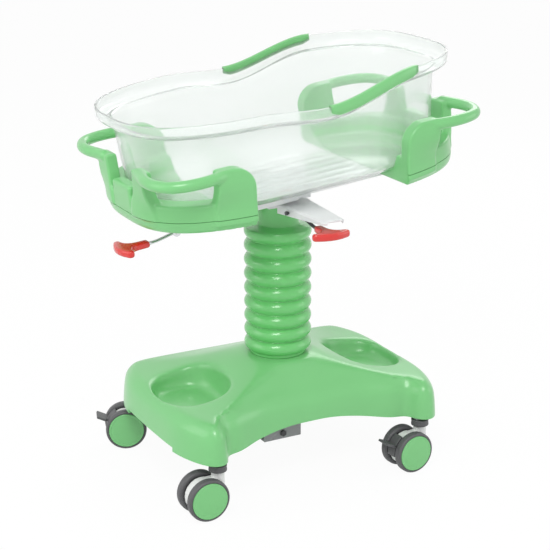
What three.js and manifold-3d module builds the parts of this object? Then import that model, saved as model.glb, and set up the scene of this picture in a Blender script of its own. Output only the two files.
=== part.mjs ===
// Height-adjustable hospital bassinet: a clear tub in two end cradles on a tilting frame,
// a telescopic column inside a bellows, and a moulded base on four twin-wheel casters.
// Millimetres, +Z up. The origin is on the floor under the column; +X points to the head end
// and -Y to the side with the height lever. The tub stands tilted, head end up.
import * as THREE from 'three';
import { mergeVertices } from 'three/addons/utils/BufferGeometryUtils.js';
import Module from 'manifold-3d';

const wasm = await Module();
wasm.setup();

// Fits
const GAP = 0.3;

// Casters
const CASTER_SPAN_X = 540;
const CASTER_SPAN_Y = 434;
const WHEEL_DIAMETER = 100;
const WHEEL_WIDTH = 21;
const WHEEL_SPACE = 33;
const TYRE_ROUND = 6;
const CAP_DIAMETER = 86;
const CAP_DEPTH = 4;
const AXLE_DIAMETER = 12;
const CASTER_TRAIL = 37;
const FORK_DIAMETER = 82;
const FORK_THICKNESS = 27;
const FORK_HEIGHT = 103;
const FORK_NECK_DIAMETER = 31;
const STEM_DIAMETER = 16;
const STEM_DEPTH = 24;
const COLLAR_DIAMETER = 42;
const COLLAR_HEIGHT = 16;
const PEDAL_THICKNESS = 6;
const PEDAL_REACH = 24;
const PEDAL_WIDTH = 40;
const PEDAL_ANGLE = 24;
const PEDAL_ARC = 70;

// Steel chassis under the base cover
const RAIL_WIDTH = 30;
const RAIL_HEIGHT = 25;
const RAIL_WALL = 2.5;
const RAIL_OVERHANG = 9;
const SPINE_WIDTH = 70;
const BRACKET_LENGTH = 100;
const BRACKET_WIDTH = 104;
const BRACKET_DROP = 58;
const BRACKET_WALL = 4;
const BRACKET_SHIFT = -14;
const BOLT_RISE = 15;
const BOLT_DIAMETER = 10;
const BOLT_HEAD = 5;

// Moulded base cover
const BASE_LENGTH = 686;
const BASE_WAIST = 165;
const WAIST_ARCH = 20;
const LOBE_OVERHANG = 34;
const SKIRT_BOTTOM = 127;
const SHOULDER_HEIGHT = 205;
const COVER_TOP = 273;
const COVER_WALL = 4;
const TOE_CUT_WIDTH = 250;
const TOE_CUT_HEIGHT = 10;
const SEAT_RADIUS = 84;
const POCKET_LENGTH = 168;
const POCKET_WIDTH = 202;
const POCKET_CENTRE = 234;
const POCKET_FLOOR = 180;
const POCKET_WALL = 3.5;
const BOSS_DIAMETER = 24;
const BOSS_OFFSET_Y = 165;

// Telescopic column
const FLANGE_DIAMETER = 130;
const FLANGE_THICKNESS = 8;
const OUTER_TUBE_DIAMETER = 84;
const OUTER_TUBE_WALL = 3;
const OUTER_TUBE_TOP = 500;
const INNER_TUBE_DIAMETER = 70;
const INNER_TUBE_WALL = 3;
const INNER_TUBE_BOTTOM = 330;
const BUSH_LENGTH = 40;
const BUSH_RIM = 6;
const SPRING_DIAMETER = 28;
const SPRING_WALL = 2;
const SPRING_TOP = 430;
const SPRING_CAP = 10;
const SPRING_ROD_DIAMETER = 10;
const SPRING_ROD_BOTTOM = 300;
const HEAD_HEIGHT = 642;

// Bellows round the column
const BELLOWS_RIBS = 9;
const BELLOWS_DIAMETER = 160;
const BELLOWS_ROOT = 136;
const BELLOWS_WALL = 2.5;
const BELLOWS_CUFF = 7;
const BELLOWS_NECK_HEIGHT = 52;
const BELLOWS_NECK = 100;

// Column head, squeeze plate and height lever
const HEAD_LENGTH = 110;
const HEAD_WIDTH = 118;
const HEAD_THICKNESS = 8;
const CHEEK_THICKNESS = 6;
const CHEEK_RADIUS = 12;
const PIVOT_RISE = 17.7;
const PIN_DIAMETER = 16;
const TONGUE_LENGTH = 30;
const WING_TIP_Y = -263;
const WING_ROOT_WIDTH = 84;
const WING_TIP_WIDTH = 56;
const WING_DROP = 9;
const WING_SHEET = 3;
const WING_BEND = 4;
const WING_ROOT_DEPTH = 24;
const WING_TIP_DEPTH = 8;
const LEVER_ROD_DIAMETER = 8;
const LEVER_PIN_DIAMETER = 6;
const GRIP_NECK_DIAMETER = 19;
const GRIP_LENGTH = 78;
const GRIP_BAR_WIDTH = 94;
const GRIP_BAR_DEPTH = 28;
const GRIP_THICKNESS = 17;
const GRIP_ROUND = 5;
const HEIGHT_LEVER_X = -12;
const HEIGHT_LEVER_Y = -272;
const HEIGHT_LEVER_DROP = 30;
const LEVER_PIVOT_Y = -122;
const LEVER_PIVOT_DROP = 12;
const LEVER_HUB_DIAMETER = 14;

// Tilting frame; its places are in the tub's own frame, which is centred on the tub's axis
const REST_TILT = THREE.MathUtils.degToRad(6);
const TUB_SHIFT = 14.5;
const TUB_RAISE = 14;
const DECK_SHEET = 3.7;
const DECK_LENGTH = 690;
const DECK_WIDTH = 140;
const PAN_FOOT_X = -164;
const PAN_HEAD_X = 11;
const PAN_WIDTH = 224;
const PAN_FLANGE = 10;
const RIB_DEPTH = 18;
const RIB_THICKNESS = 4;
const LUG_RADIUS = 16;
const LUG_THICKNESS = 6;
const LUG_START = 62;
const LUG_CLEARANCE = 7;
const TILT_SPRING_DIAMETER = 22;
const TILT_SPRING_LENGTH = 88;
const TILT_SPRING_WALL = 2;
const TILT_ROD_DIAMETER = 10;
const TILT_ROD_INSIDE = 40;
const EYE_THICKNESS = 24;
const EYE_WALL = 5;
const EYE_SLACK = 4;
const ANCHOR_X = -98;
const ANCHOR_DROP = 22.3;
const ANCHOR_ARM = 6;
const ANCHOR_PIN_DIAMETER = 8;
const RELEASE_X = -268;
const RELEASE_Z = -38;
const RELEASE_LENGTH = 44;
const FOOT_PIVOT_X = -292;
const FOOT_PIVOT_Z = -42;
const FOOT_LEVER_X = -425;
const FOOT_LEVER_Z = -52;

// Tub, in its own frame
const TUB_LENGTH = 808;
const TUB_WIDTH = 518;
const TUB_ROUNDNESS = 3;
const TUB_WALL = 5;
const TUB_BOTTOM = 9;
const FLOOR_INSET_X = 72;
const FLOOR_INSET_Y = 97;
const FOOT_RIM = 243;
const SIDE_RIM = 229;
const HEAD_RIM = 270;
const DIP_START = -0.2 * TUB_LENGTH;
const STEP_START = 0.0075 * TUB_LENGTH;
const STEP_END = 0.285 * TUB_LENGTH;
const LIP_OVERHANG = 32;
const LIP_DEPTH = 45;
const TRIM_START = -0.007 * TUB_LENGTH;
const TRIM_END = 0.297 * TUB_LENGTH;
const TRIM_THICKNESS = 2.6;
const TRIM_FIT = 0.6;
const TRIM_OUTER_DROP = 21;
const TRIM_INNER_DROP = 12;

// End cradles
const CRADLE_SHORTER = 8;
const CRADLE_NARROWER = 6;
const CRADLE_BOTTOM = 4;
const CRADLE_SILL = 67;
const CRADLE_INNER_X = 190;
const CRADLE_WALL = 5;
const PLATE_END_X = 278;
const PLATE_TOP = 146;
const PLATE_DEPTH = 36;
const PLATE_PROUD = 1;
const PLATE_ROUND = 52;
const LEG_Y = 95;
const LEG_WIDTH = 54;
const LEG_DEPTH = 34;
const BAR_DIAMETER = 26;
const BAR_HEIGHT = 133;
const BAR_PROUD_X = 4;
const BAR_PROUD_Y = 2;
const BAR_CORNER = 86;
const NOSE_WIDTH = 96;
const NOSE_TOP = 92;

// Facets
const ROUND = 12;
const FINE_ROUND = 20;
const OUTLINE_POINTS = 48;

// Finishes
const GREEN = { color: 0x8fcf8c, roughness: 0.38, metalness: 0 };
const BELLOWS_GREEN = { color: 0x5bbb62, roughness: 0.45, metalness: 0 };
const CLEAR = { color: 0xe4ece8, roughness: 0.08, metalness: 0, transparent: true, opacity: 0.35 };
const WHITE_STEEL = { color: 0xe9e9ea, roughness: 0.4, metalness: 0.1 };
const GREY_STEEL = { color: 0x8d8b90, roughness: 0.45, metalness: 0.7 };
const BRIGHT_STEEL = { color: 0xb9bcc0, roughness: 0.3, metalness: 0.9 };
const DARK_STEEL = { color: 0x3a3a3d, roughness: 0.5, metalness: 0.6 };
const DARK_PLASTIC = { color: 0x56565a, roughness: 0.6, metalness: 0 };
const PALE_PLASTIC = { color: 0xe6e7e4, roughness: 0.45, metalness: 0 };
const RED_PLASTIC = { color: 0xc8201a, roughness: 0.35, metalness: 0 };

// Solids

// A closed geometry as a solid that can be joined and cut, with its faces turned outwards.
function solid(geometry) {
  const bare = geometry.clone();
  bare.deleteAttribute('normal');
  bare.deleteAttribute('uv');
  const merged = mergeVertices(bare, 1e-4);
  const position = merged.attributes.position;
  const corner = [new THREE.Vector3(), new THREE.Vector3(), new THREE.Vector3()];
  const triangles = [];
  let volume = 0;
  for (let i = 0; i < merged.index.count; i += 3) {
    const [a, b, c] = [0, 1, 2].map((k) => merged.index.getX(i + k));
    if (a === b || b === c || c === a) continue;
    [a, b, c].forEach((vertex, k) => corner[k].fromBufferAttribute(position, vertex));
    volume += corner[0].dot(corner[1].clone().cross(corner[2]));
    triangles.push(a, b, c);
  }
  if (volume < 0) triangles.reverse();
  return new wasm.Manifold(new wasm.Mesh({
    numProp: 3,
    vertProperties: new Float32Array(position.array),
    triVerts: new Uint32Array(triangles),
  }));
}

function joined(...solids) {
  return solids.reduce((whole, next) => whole.add(next));
}

// An axis-aligned block between two corners.
function block(low, high) {
  const size = high.map((value, k) => value - low[k]);
  const geometry = new THREE.BoxGeometry(...size);
  geometry.translate(...low.map((value, k) => value + size[k] / 2));
  return solid(geometry);
}

// A round bar between two points.
function rod(from, to, diameter, sides = ROUND) {
  const start = new THREE.Vector3(...from);
  const axis = new THREE.Vector3(...to).sub(start);
  const geometry = new THREE.CylinderGeometry(diameter / 2, diameter / 2, axis.length(), sides);
  geometry.translate(0, axis.length() / 2, 0);
  geometry.applyQuaternion(new THREE.Quaternion().setFromUnitVectors(
    new THREE.Vector3(0, 1, 0), axis.clone().normalize()));
  geometry.translate(start.x, start.y, start.z);
  return solid(geometry);
}

// A profile of [radius, height] pairs turned round the Z axis.
function turned(profile, sides = ROUND, closed = false) {
  const points = profile.map(([radius, height]) => new THREE.Vector2(radius, height));
  if (closed) points.push(points[0].clone());
  return new THREE.LatheGeometry(points, sides).rotateX(Math.PI / 2);
}

// A skin through rings of points, closed by a cap on its first and last ring. A ring that isn't
// convex is capped in the plane that flatten gives.
function loft(rings, flatten) {
  const count = rings[0].length;
  const positions = rings.flat().flatMap((point) => point.toArray());
  const index = [];
  for (let r = 0; r + 1 < rings.length; r += 1) {
    for (let i = 0; i < count; i += 1) {
      const a = r * count + i;
      const b = r * count + (i + 1) % count;
      index.push(a, b, b + count, a, b + count, a + count);
    }
  }
  const last = (rings.length - 1) * count;
  for (const [ring, first, atStart] of [[rings[0], 0, true], [rings.at(-1), last, false]]) {
    const flat = flatten ? ring.map(flatten) : [];
    const clockwise = flatten ? THREE.ShapeUtils.isClockWise(flat) : false;
    const fan = ring.slice(2).map((_, i) => [0, i + 1, i + 2]);
    for (const [a, b, c] of flatten ? THREE.ShapeUtils.triangulateShape(flat, []) : fan) {
      if (clockwise === atStart) index.push(first + a, first + b, first + c);
      else index.push(first + a, first + c, first + b);
    }
  }
  const geometry = new THREE.BufferGeometry();
  geometry.setAttribute('position', new THREE.Float32BufferAttribute(positions, 3));
  geometry.setIndex(index);
  return solid(geometry);
}

const inPlan = (point) => new THREE.Vector2(point.x, point.y);
const fromSide = (point) => new THREE.Vector2(point.x, point.z);
const fromEnd = (point) => new THREE.Vector2(point.y, point.z);

// A round bar bent along a smooth path.
function bent(path, diameter, steps, sides = 8) {
  const curve = new THREE.CatmullRomCurve3(path.map((point) => new THREE.Vector3(...point)));
  const frames = curve.computeFrenetFrames(steps);
  const rings = Array.from({ length: steps + 1 }, (_, k) => Array.from({ length: sides }, (_unused, i) => {
    const angle = 2 * Math.PI * i / sides;
    return curve.getPointAt(k / steps)
      .addScaledVector(frames.normals[k], Math.cos(angle) * diameter / 2)
      .addScaledVector(frames.binormals[k], Math.sin(angle) * diameter / 2);
  }));
  return loft(rings, null);
}

// A flat outline of [x, z] points, extruded along Y between two places.
function slab(outline, nearY, farY) {
  const shape = new THREE.Shape(outline.map(([x, z]) => new THREE.Vector2(x, z)));
  const geometry = new THREE.ExtrudeGeometry(shape, { depth: farY - nearY, bevelEnabled: false });
  geometry.rotateX(Math.PI / 2);
  geometry.translate(0, farY, 0);
  return solid(geometry);
}

const object = new THREE.Group();

// A named piece of the object, in a group that places it.
function piece(name, body, finish, parent = object) {
  const data = body.getMesh();
  const geometry = new THREE.BufferGeometry();
  geometry.setAttribute('position', new THREE.BufferAttribute(new Float32Array(data.vertProperties), 3));
  geometry.setIndex(new THREE.BufferAttribute(new Uint32Array(data.triVerts), 1));
  geometry.computeVertexNormals();
  const mesh = new THREE.Mesh(geometry, new THREE.MeshStandardMaterial(finish));
  mesh.name = name;
  parent.add(mesh);
  return mesh;
}

// Casters: a fixed stem with its collar, a swivelling fork, an axle and two capped wheels
const AXLE_HEIGHT = WHEEL_DIAMETER / 2;
const COLLAR_TOP = FORK_HEIGHT + GAP + COLLAR_HEIGHT;
const RAIL_BOTTOM = COLLAR_TOP + GAP;
const RAIL_TOP = RAIL_BOTTOM + RAIL_HEIGHT;
const CASTERS = [
  { place: 'foot_near', x: -1, y: -1, swivel: 0, braked: false },
  { place: 'head_near', x: 1, y: -1, swivel: 4, braked: true },
  { place: 'foot_far', x: -1, y: 1, swivel: -20, braked: true },
  { place: 'head_far', x: 1, y: 1, swivel: 8, braked: false },
];

function casterStem() {
  const stem = STEM_DIAMETER / 2;
  const collar = COLLAR_DIAMETER / 2;
  return solid(turned([
    [0, FORK_HEIGHT - STEM_DEPTH + GAP], [stem, FORK_HEIGHT - STEM_DEPTH + GAP],
    [stem, FORK_HEIGHT + GAP], [collar - 2, FORK_HEIGHT + GAP], [collar, FORK_HEIGHT + GAP + 2],
    [collar, COLLAR_TOP], [stem, COLLAR_TOP], [stem, RAIL_TOP + 2], [0, RAIL_TOP + 2],
  ]));
}

// The fork trails behind its stem: its disc lies round the axle, at -CASTER_TRAIL.
function casterFork() {
  const half = FORK_THICKNESS / 2;
  const disc = rod([-CASTER_TRAIL, -half, AXLE_HEIGHT], [-CASTER_TRAIL, half, AXLE_HEIGHT],
    FORK_DIAMETER, FINE_ROUND);
  const neck = rod([0, 0, AXLE_HEIGHT + FORK_THICKNESS / 2], [0, 0, FORK_HEIGHT], FORK_NECK_DIAMETER);
  const arm = block([-CASTER_TRAIL, -half, AXLE_HEIGHT + half], [0, half, FORK_HEIGHT - half]);
  const stemBore = rod([0, 0, FORK_HEIGHT - STEM_DEPTH], [0, 0, FORK_HEIGHT + 1], STEM_DIAMETER + 2 * GAP);
  const axleBore = rod([-CASTER_TRAIL, -half - 1, AXLE_HEIGHT], [-CASTER_TRAIL, half + 1, AXLE_HEIGHT],
    AXLE_DIAMETER + 2 * GAP);
  return joined(disc, neck, arm).subtract(stemBore).subtract(axleBore);
}

// A wheel lies on its axle with its inner face at height 0.
function wheel() {
  const bore = AXLE_DIAMETER / 2 + GAP;
  const tread = WHEEL_DIAMETER / 2;
  const recess = CAP_DIAMETER / 2 + GAP;
  return turned([
    [bore, 0], [tread - TYRE_ROUND, 0], [tread, TYRE_ROUND], [tread, WHEEL_WIDTH - TYRE_ROUND],
    [tread - TYRE_ROUND, WHEEL_WIDTH], [recess, WHEEL_WIDTH], [recess, WHEEL_WIDTH - CAP_DEPTH],
    [bore, WHEEL_WIDTH - CAP_DEPTH],
  ], FINE_ROUND, true);
}

function wheelCap() {
  const edge = CAP_DIAMETER / 2;
  const seat = WHEEL_WIDTH - CAP_DEPTH + GAP;
  return turned([
    [0, seat], [edge, seat], [edge, WHEEL_WIDTH], [edge - 3, WHEEL_WIDTH + 1], [0, WHEEL_WIDTH + 2],
  ], FINE_ROUND);
}

// The brake pedal hugs the fork's rim behind the wheels and turns about the axle.
function brakePedal() {
  const inner = FORK_DIAMETER / 2 + GAP;
  const outer = inner + PEDAL_THICKNESS;
  const middle = THREE.MathUtils.degToRad(180 - PEDAL_ANGLE);
  const spread = THREE.MathUtils.degToRad(PEDAL_ARC / 2);
  const shape = new THREE.Shape();
  shape.absarc(0, 0, outer, middle - spread, middle + spread, false);
  shape.absarc(0, 0, inner, middle + spread, middle - spread, true);
  const half = FORK_THICKNESS / 2;
  const shoe = new THREE.ExtrudeGeometry(shape, { depth: 2 * half, bevelEnabled: false, curveSegments: 10 });
  shoe.rotateX(Math.PI / 2);
  shoe.translate(0, half, 0);
  const clearTyre = WHEEL_DIAMETER / 2 + 3;
  const tongue = new THREE.BoxGeometry(PEDAL_REACH, PEDAL_WIDTH, PEDAL_THICKNESS);
  tongue.translate(clearTyre + PEDAL_REACH / 2, 0, 0);
  const shank = new THREE.BoxGeometry(clearTyre + 4 - inner - PEDAL_THICKNESS / 2, 2 * half, PEDAL_THICKNESS);
  shank.translate((inner + PEDAL_THICKNESS / 2 + clearTyre + 4) / 2, 0, 0);
  for (const part of [tongue, shank]) part.rotateY(-middle);
  const pedal = joined(solid(shoe), solid(tongue), solid(shank));
  return pedal.translate([-CASTER_TRAIL, 0, AXLE_HEIGHT]);
}

for (const { place, x, y, swivel, braked } of CASTERS) {
  const caster = new THREE.Group();
  caster.position.set(x * CASTER_SPAN_X / 2, y * CASTER_SPAN_Y / 2, 0);
  caster.rotation.z = THREE.MathUtils.degToRad(swivel);
  object.add(caster);
  const half = WHEEL_SPACE / 2 + WHEEL_WIDTH - CAP_DEPTH - GAP;
  piece(`caster_${place}_stem`, casterStem(), DARK_PLASTIC, caster);
  piece(`caster_${place}_fork`, casterFork(), PALE_PLASTIC, caster);
  piece(`caster_${place}_axle`, rod([-CASTER_TRAIL, -half, AXLE_HEIGHT], [-CASTER_TRAIL, half, AXLE_HEIGHT],
    AXLE_DIAMETER), BRIGHT_STEEL, caster);
  for (const [side, turn] of [['near', 1], ['far', -1]]) {
    const place3 = new THREE.Matrix4().makeRotationX(turn * Math.PI / 2);
    place3.setPosition(-CASTER_TRAIL, -turn * WHEEL_SPACE / 2, AXLE_HEIGHT);
    piece(`caster_${place}_wheel_${side}`, solid(wheel().applyMatrix4(place3)), DARK_PLASTIC, caster);
    piece(`caster_${place}_cap_${side}`, solid(wheelCap().applyMatrix4(place3)), GREEN, caster);
  }
  if (braked) piece(`caster_${place}_pedal`, brakePedal(), DARK_PLASTIC, caster);
}

// Chassis: two cross rails carry the stems, a spine joins them and a bracket hangs under the column
const RAIL_HALF = CASTER_SPAN_Y / 2 + RAIL_OVERHANG;
for (const [end, x] of [['foot', -CASTER_SPAN_X / 2], ['head', CASTER_SPAN_X / 2]]) {
  const outside = block([x - RAIL_WIDTH / 2, -RAIL_HALF, RAIL_BOTTOM], [x + RAIL_WIDTH / 2, RAIL_HALF, RAIL_TOP]);
  const inside = block(
    [x - RAIL_WIDTH / 2 + RAIL_WALL, -RAIL_HALF - 1, RAIL_BOTTOM + RAIL_WALL],
    [x + RAIL_WIDTH / 2 - RAIL_WALL, RAIL_HALF + 1, RAIL_TOP - RAIL_WALL]);
  let rail = outside.subtract(inside);
  for (const y of [-CASTER_SPAN_Y / 2, CASTER_SPAN_Y / 2]) {
    rail = rail.subtract(rod([x, y, RAIL_BOTTOM - 1], [x, y, RAIL_TOP + 1], STEM_DIAMETER + 2 * GAP));
  }
  piece(`chassis_rail_${end}`, rail, GREY_STEEL);
}

const SPINE_HALF = CASTER_SPAN_X / 2 - RAIL_WIDTH / 2 - GAP;
const spineOutside = block([-SPINE_HALF, -SPINE_WIDTH / 2, RAIL_BOTTOM], [SPINE_HALF, SPINE_WIDTH / 2, RAIL_TOP]);
const spineInside = block(
  [-SPINE_HALF - 1, -SPINE_WIDTH / 2 + RAIL_WALL, RAIL_BOTTOM + RAIL_WALL],
  [SPINE_HALF + 1, SPINE_WIDTH / 2 - RAIL_WALL, RAIL_TOP - RAIL_WALL]);
piece('chassis_spine', spineOutside.subtract(spineInside), GREY_STEEL);

const bracketTop = RAIL_BOTTOM - GAP;
const bracketLow = [BRACKET_SHIFT - BRACKET_LENGTH / 2, -BRACKET_WIDTH / 2, bracketTop - BRACKET_DROP];
const bracketHigh = [BRACKET_SHIFT + BRACKET_LENGTH / 2, BRACKET_WIDTH / 2, bracketTop];
const bracketRoom = block(
  [bracketLow[0] - 1, bracketLow[1] + BRACKET_WALL, bracketLow[2] + BRACKET_WALL],
  [bracketHigh[0] + 1, bracketHigh[1] - BRACKET_WALL, bracketTop - BRACKET_WALL]);
const boltX = BRACKET_SHIFT;
const boltZ = bracketLow[2] + BOLT_RISE;
const bracketBoltHole = rod([boltX, bracketLow[1] - 1, boltZ], [boltX, bracketLow[1] + BRACKET_WALL + 1, boltZ],
  BOLT_DIAMETER + 2 * GAP);
piece('column_bracket', block(bracketLow, bracketHigh).subtract(bracketRoom).subtract(bracketBoltHole), GREY_STEEL);
piece('bracket_bolt', joined(
  rod([boltX, bracketLow[1] - GAP - BOLT_HEAD, boltZ], [boltX, bracketLow[1] - GAP, boltZ], 1.6 * BOLT_DIAMETER, 6),
  rod([boltX, bracketLow[1] - GAP - 1, boltZ], [boltX, bracketLow[1] + 3 * BRACKET_WALL, boltZ], BOLT_DIAMETER, 16),
), DARK_STEEL);

// Base cover: a lobe over each caster, a hollowed and arched waist on the near side and a straight far side
const LOBE_X = CASTER_SPAN_X / 2;
const LOBE_Y = CASTER_SPAN_Y / 2;
const HALF_BASE = BASE_LENGTH / 2;
const LOBE_TIP = LOBE_Y + LOBE_OVERHANG;
const COVER_SAMPLES = 20;

// Half of the outline, from the head end round one long side to the foot end.
function coverSide(quarter) {
  const mirrored = quarter.map(([x, y]) => [-x, y]).reverse();
  const points = [...quarter, ...mirrored.slice(quarter.at(-1)[0] === 0 ? 1 : 0)];
  const curve = new THREE.CatmullRomCurve3(points.map(([x, y]) => new THREE.Vector3(x, y, 0)));
  return curve.getSpacedPoints(COVER_SAMPLES).slice(0, COVER_SAMPLES);
}

const coverEnd = [[HALF_BASE, 0], [HALF_BASE - 5, 0.63 * LOBE_Y], [HALF_BASE - 22, LOBE_Y - 18], [LOBE_X + 30, LOBE_TIP - 14]];
const farSide = coverSide([...coverEnd, [LOBE_X + 4, LOBE_TIP], [0, LOBE_TIP]]);
const nearSide = coverSide([
  ...coverEnd, [LOBE_X + 8, LOBE_TIP], [LOBE_X - 14, LOBE_TIP - 10], [LOBE_X - 35, LOBE_Y - 12],
  [0.76 * LOBE_X, BASE_WAIST + 35], [0.5 * LOBE_X, BASE_WAIST + 9], [0, BASE_WAIST],
]).map((point) => new THREE.Vector3(-point.x, -point.y, 0));
const coverOutline = [...farSide, ...nearSide];

// The skin of the cover, shrunk by a wall: a skirt, a rounded shoulder and a roof that climbs to the column.
function coverSkin(wall, bottom) {
  const count = coverOutline.length;
  const inward = coverOutline.map((point, i) => {
    const along = coverOutline[(i + 1) % count].clone().sub(coverOutline[(i + count - 1) % count]);
    return new THREE.Vector3(-along.y, along.x, 0).normalize();
  });
  const seat = coverOutline.map((_, i) => {
    const angle = 2 * Math.PI * i / count;
    return new THREE.Vector3(SEAT_RADIUS * Math.cos(angle), SEAT_RADIUS * Math.sin(angle), 0);
  });
  const room = coverOutline.map((point, i) => point.distanceTo(seat[i]));
  const rise = coverOutline.map(({ x, y }) => (y < 0
    ? WAIST_ARCH * (1 - THREE.MathUtils.smoothstep(Math.abs(x), 0.1 * LOBE_X, 0.85 * LOBE_X)) : 0));
  const ring = (inset, share, height, arch) => coverOutline.map((point, i) => {
    const step = Math.min(inset, share * room[i]) + wall;
    return point.clone().addScaledVector(inward[i], step).setZ(height + arch * rise[i]);
  });
  const shoulder = SHOULDER_HEIGHT - wall;
  const top = COVER_TOP - wall;
  const brow = ring(28, 0.4, shoulder + 12, 0);
  const roof = (share) => brow.map((point, i) => {
    const fullness = 1.15 + 0.85 * Math.cos(2 * Math.PI * i / count) ** 2;
    const height = point.z + (top - point.z) * share ** fullness;
    return point.clone().lerp(seat[i], share).setZ(height);
  });
  const skirt = SHOULDER_HEIGHT - SKIRT_BOTTOM;
  return loft([
    ring(0, 0, bottom, 1), ring(3, 0.03, SKIRT_BOTTOM + 0.55 * skirt, 0.45), ring(7, 0.1, shoulder - 12, 0),
    ring(15, 0.22, shoulder, 0), brow, roof(0.35), roof(0.7), roof(1),
  ], inPlan);
}

function superellipse(halfX, halfY, roundness, count) {
  return Array.from({ length: count }, (_, i) => {
    const angle = 2 * Math.PI * i / count;
    const [c, s] = [Math.cos(angle), Math.sin(angle)];
    const power = 2 / roundness;
    return new THREE.Vector3(
      halfX * Math.sign(c) * Math.abs(c) ** power, halfY * Math.sign(s) * Math.abs(s) ** power, 0);
  });
}

// The room of a storage pocket, grown by a wall all round and below.
function pocketRoom(end, wall) {
  const shape = (grow) => superellipse(POCKET_LENGTH / 2 + grow, POCKET_WIDTH / 2 + grow, 2.5, 24)
    .map((point) => point.add(new THREE.Vector3(end * POCKET_CENTRE, 0, 0)));
  const level = (grow, height) => shape(grow + wall).map((point) => point.setZ(height));
  return loft([
    level(-18, POCKET_FLOOR - wall), level(-8, POCKET_FLOOR - wall + 8), level(0, SHOULDER_HEIGHT + 16),
    level(4, COVER_TOP + 20),
  ], inPlan);
}

const coverSolid = coverSkin(0, SKIRT_BOTTOM);
let coverHollow = coverSkin(COVER_WALL, SKIRT_BOTTOM - 20);
const bosses = [[-1, -1], [1, -1], [-1, 1], [1, 1]].map(([x, y]) => rod(
  [x * LOBE_X, y * BOSS_OFFSET_Y, RAIL_TOP + GAP], [x * LOBE_X, y * BOSS_OFFSET_Y, COVER_TOP], BOSS_DIAMETER, 16));
for (const boss of bosses) coverHollow = coverHollow.subtract(boss);
for (const end of [-1, 1]) coverHollow = coverHollow.subtract(pocketRoom(end, POCKET_WALL));
let cover = coverSolid.subtract(coverHollow);
for (const end of [-1, 1]) {
  const [inner, outer] = [HALF_BASE - 60, HALF_BASE + 20];
  cover = cover.subtract(pocketRoom(end, 0)).subtract(block(
    [Math.min(end * inner, end * outer), -TOE_CUT_WIDTH / 2, SKIRT_BOTTOM - 30],
    [Math.max(end * inner, end * outer), TOE_CUT_WIDTH / 2, SKIRT_BOTTOM + TOE_CUT_HEIGHT]));
}
const columnHole = rod([0, 0, RAIL_TOP], [0, 0, COVER_TOP + 20], OUTER_TUBE_DIAMETER + 2 * GAP, FINE_ROUND);
piece('base_cover', cover.subtract(columnHole), GREEN);

// Column: a flanged outer tube with a guide bush, an inner tube that slides in it and a gas spring inside
const FLANGE_BOTTOM = RAIL_TOP + GAP;
const FLANGE_TOP = FLANGE_BOTTOM + FLANGE_THICKNESS;
const outerRadius = OUTER_TUBE_DIAMETER / 2;
const outerBore = outerRadius - OUTER_TUBE_WALL;
const innerRadius = INNER_TUBE_DIAMETER / 2;
piece('outer_tube', solid(turned([
  [0, FLANGE_BOTTOM], [FLANGE_DIAMETER / 2, FLANGE_BOTTOM], [FLANGE_DIAMETER / 2, FLANGE_TOP],
  [outerRadius, FLANGE_TOP], [outerRadius, OUTER_TUBE_TOP], [outerBore, OUTER_TUBE_TOP],
  [outerBore, FLANGE_TOP], [0, FLANGE_TOP],
], FINE_ROUND)), GREY_STEEL);
piece('guide_bush', solid(turned([
  [innerRadius + GAP, OUTER_TUBE_TOP - BUSH_LENGTH], [outerBore - GAP, OUTER_TUBE_TOP - BUSH_LENGTH],
  [outerBore - GAP, OUTER_TUBE_TOP + GAP], [outerRadius, OUTER_TUBE_TOP + GAP],
  [outerRadius, OUTER_TUBE_TOP + BUSH_RIM], [innerRadius + GAP, OUTER_TUBE_TOP + BUSH_RIM],
], FINE_ROUND, true)), DARK_PLASTIC);
piece('inner_tube', solid(turned([
  [innerRadius - INNER_TUBE_WALL, INNER_TUBE_BOTTOM], [innerRadius, INNER_TUBE_BOTTOM],
  [innerRadius, HEAD_HEIGHT], [innerRadius - INNER_TUBE_WALL, HEAD_HEIGHT],
], FINE_ROUND, true)), BRIGHT_STEEL);
const springRadius = SPRING_DIAMETER / 2;
const springFoot = FLANGE_TOP + GAP;
piece('lift_spring_cylinder', solid(turned([
  [0, springFoot], [springRadius, springFoot], [springRadius, SPRING_TOP],
  [SPRING_ROD_DIAMETER / 2 + GAP, SPRING_TOP], [SPRING_ROD_DIAMETER / 2 + GAP, SPRING_TOP - SPRING_CAP],
  [springRadius - SPRING_WALL, SPRING_TOP - SPRING_CAP], [springRadius - SPRING_WALL, springFoot + SPRING_CAP],
  [0, springFoot + SPRING_CAP],
])), DARK_STEEL);
piece('lift_spring_rod', rod([0, 0, SPRING_ROD_BOTTOM], [0, 0, HEAD_HEIGHT], SPRING_ROD_DIAMETER), BRIGHT_STEEL);

// Bellows: round ribs that meet in sharp grooves, a cuff on the cover and a neck up to the column head
const bellowsFoot = COVER_TOP + GAP;
const ribsBottom = bellowsFoot + BELLOWS_CUFF;
const ribsTop = HEAD_HEIGHT - BELLOWS_NECK_HEIGHT;
const ribPitch = (ribsTop - ribsBottom) / BELLOWS_RIBS;
const grooveRadius = BELLOWS_ROOT / 2;
const crestRadius = BELLOWS_DIAMETER / 2;
const neckRadius = BELLOWS_NECK / 2;
const ribArc = (share) => grooveRadius + (crestRadius - grooveRadius) * Math.sin(Math.PI * share) ** 0.7;
const bellowsProfile = [[grooveRadius, bellowsFoot]];
const bellowsInside = [[grooveRadius - BELLOWS_WALL, bellowsFoot]];
for (let rib = 0; rib < BELLOWS_RIBS; rib += 1) {
  const start = ribsBottom + rib * ribPitch;
  bellowsProfile.push(...[0, 0.2, 0.5, 0.8].map((share) => [ribArc(share), start + share * ribPitch]));
  bellowsInside.push([grooveRadius - BELLOWS_WALL, start], [crestRadius - BELLOWS_WALL, start + 0.5 * ribPitch]);
}
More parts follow.
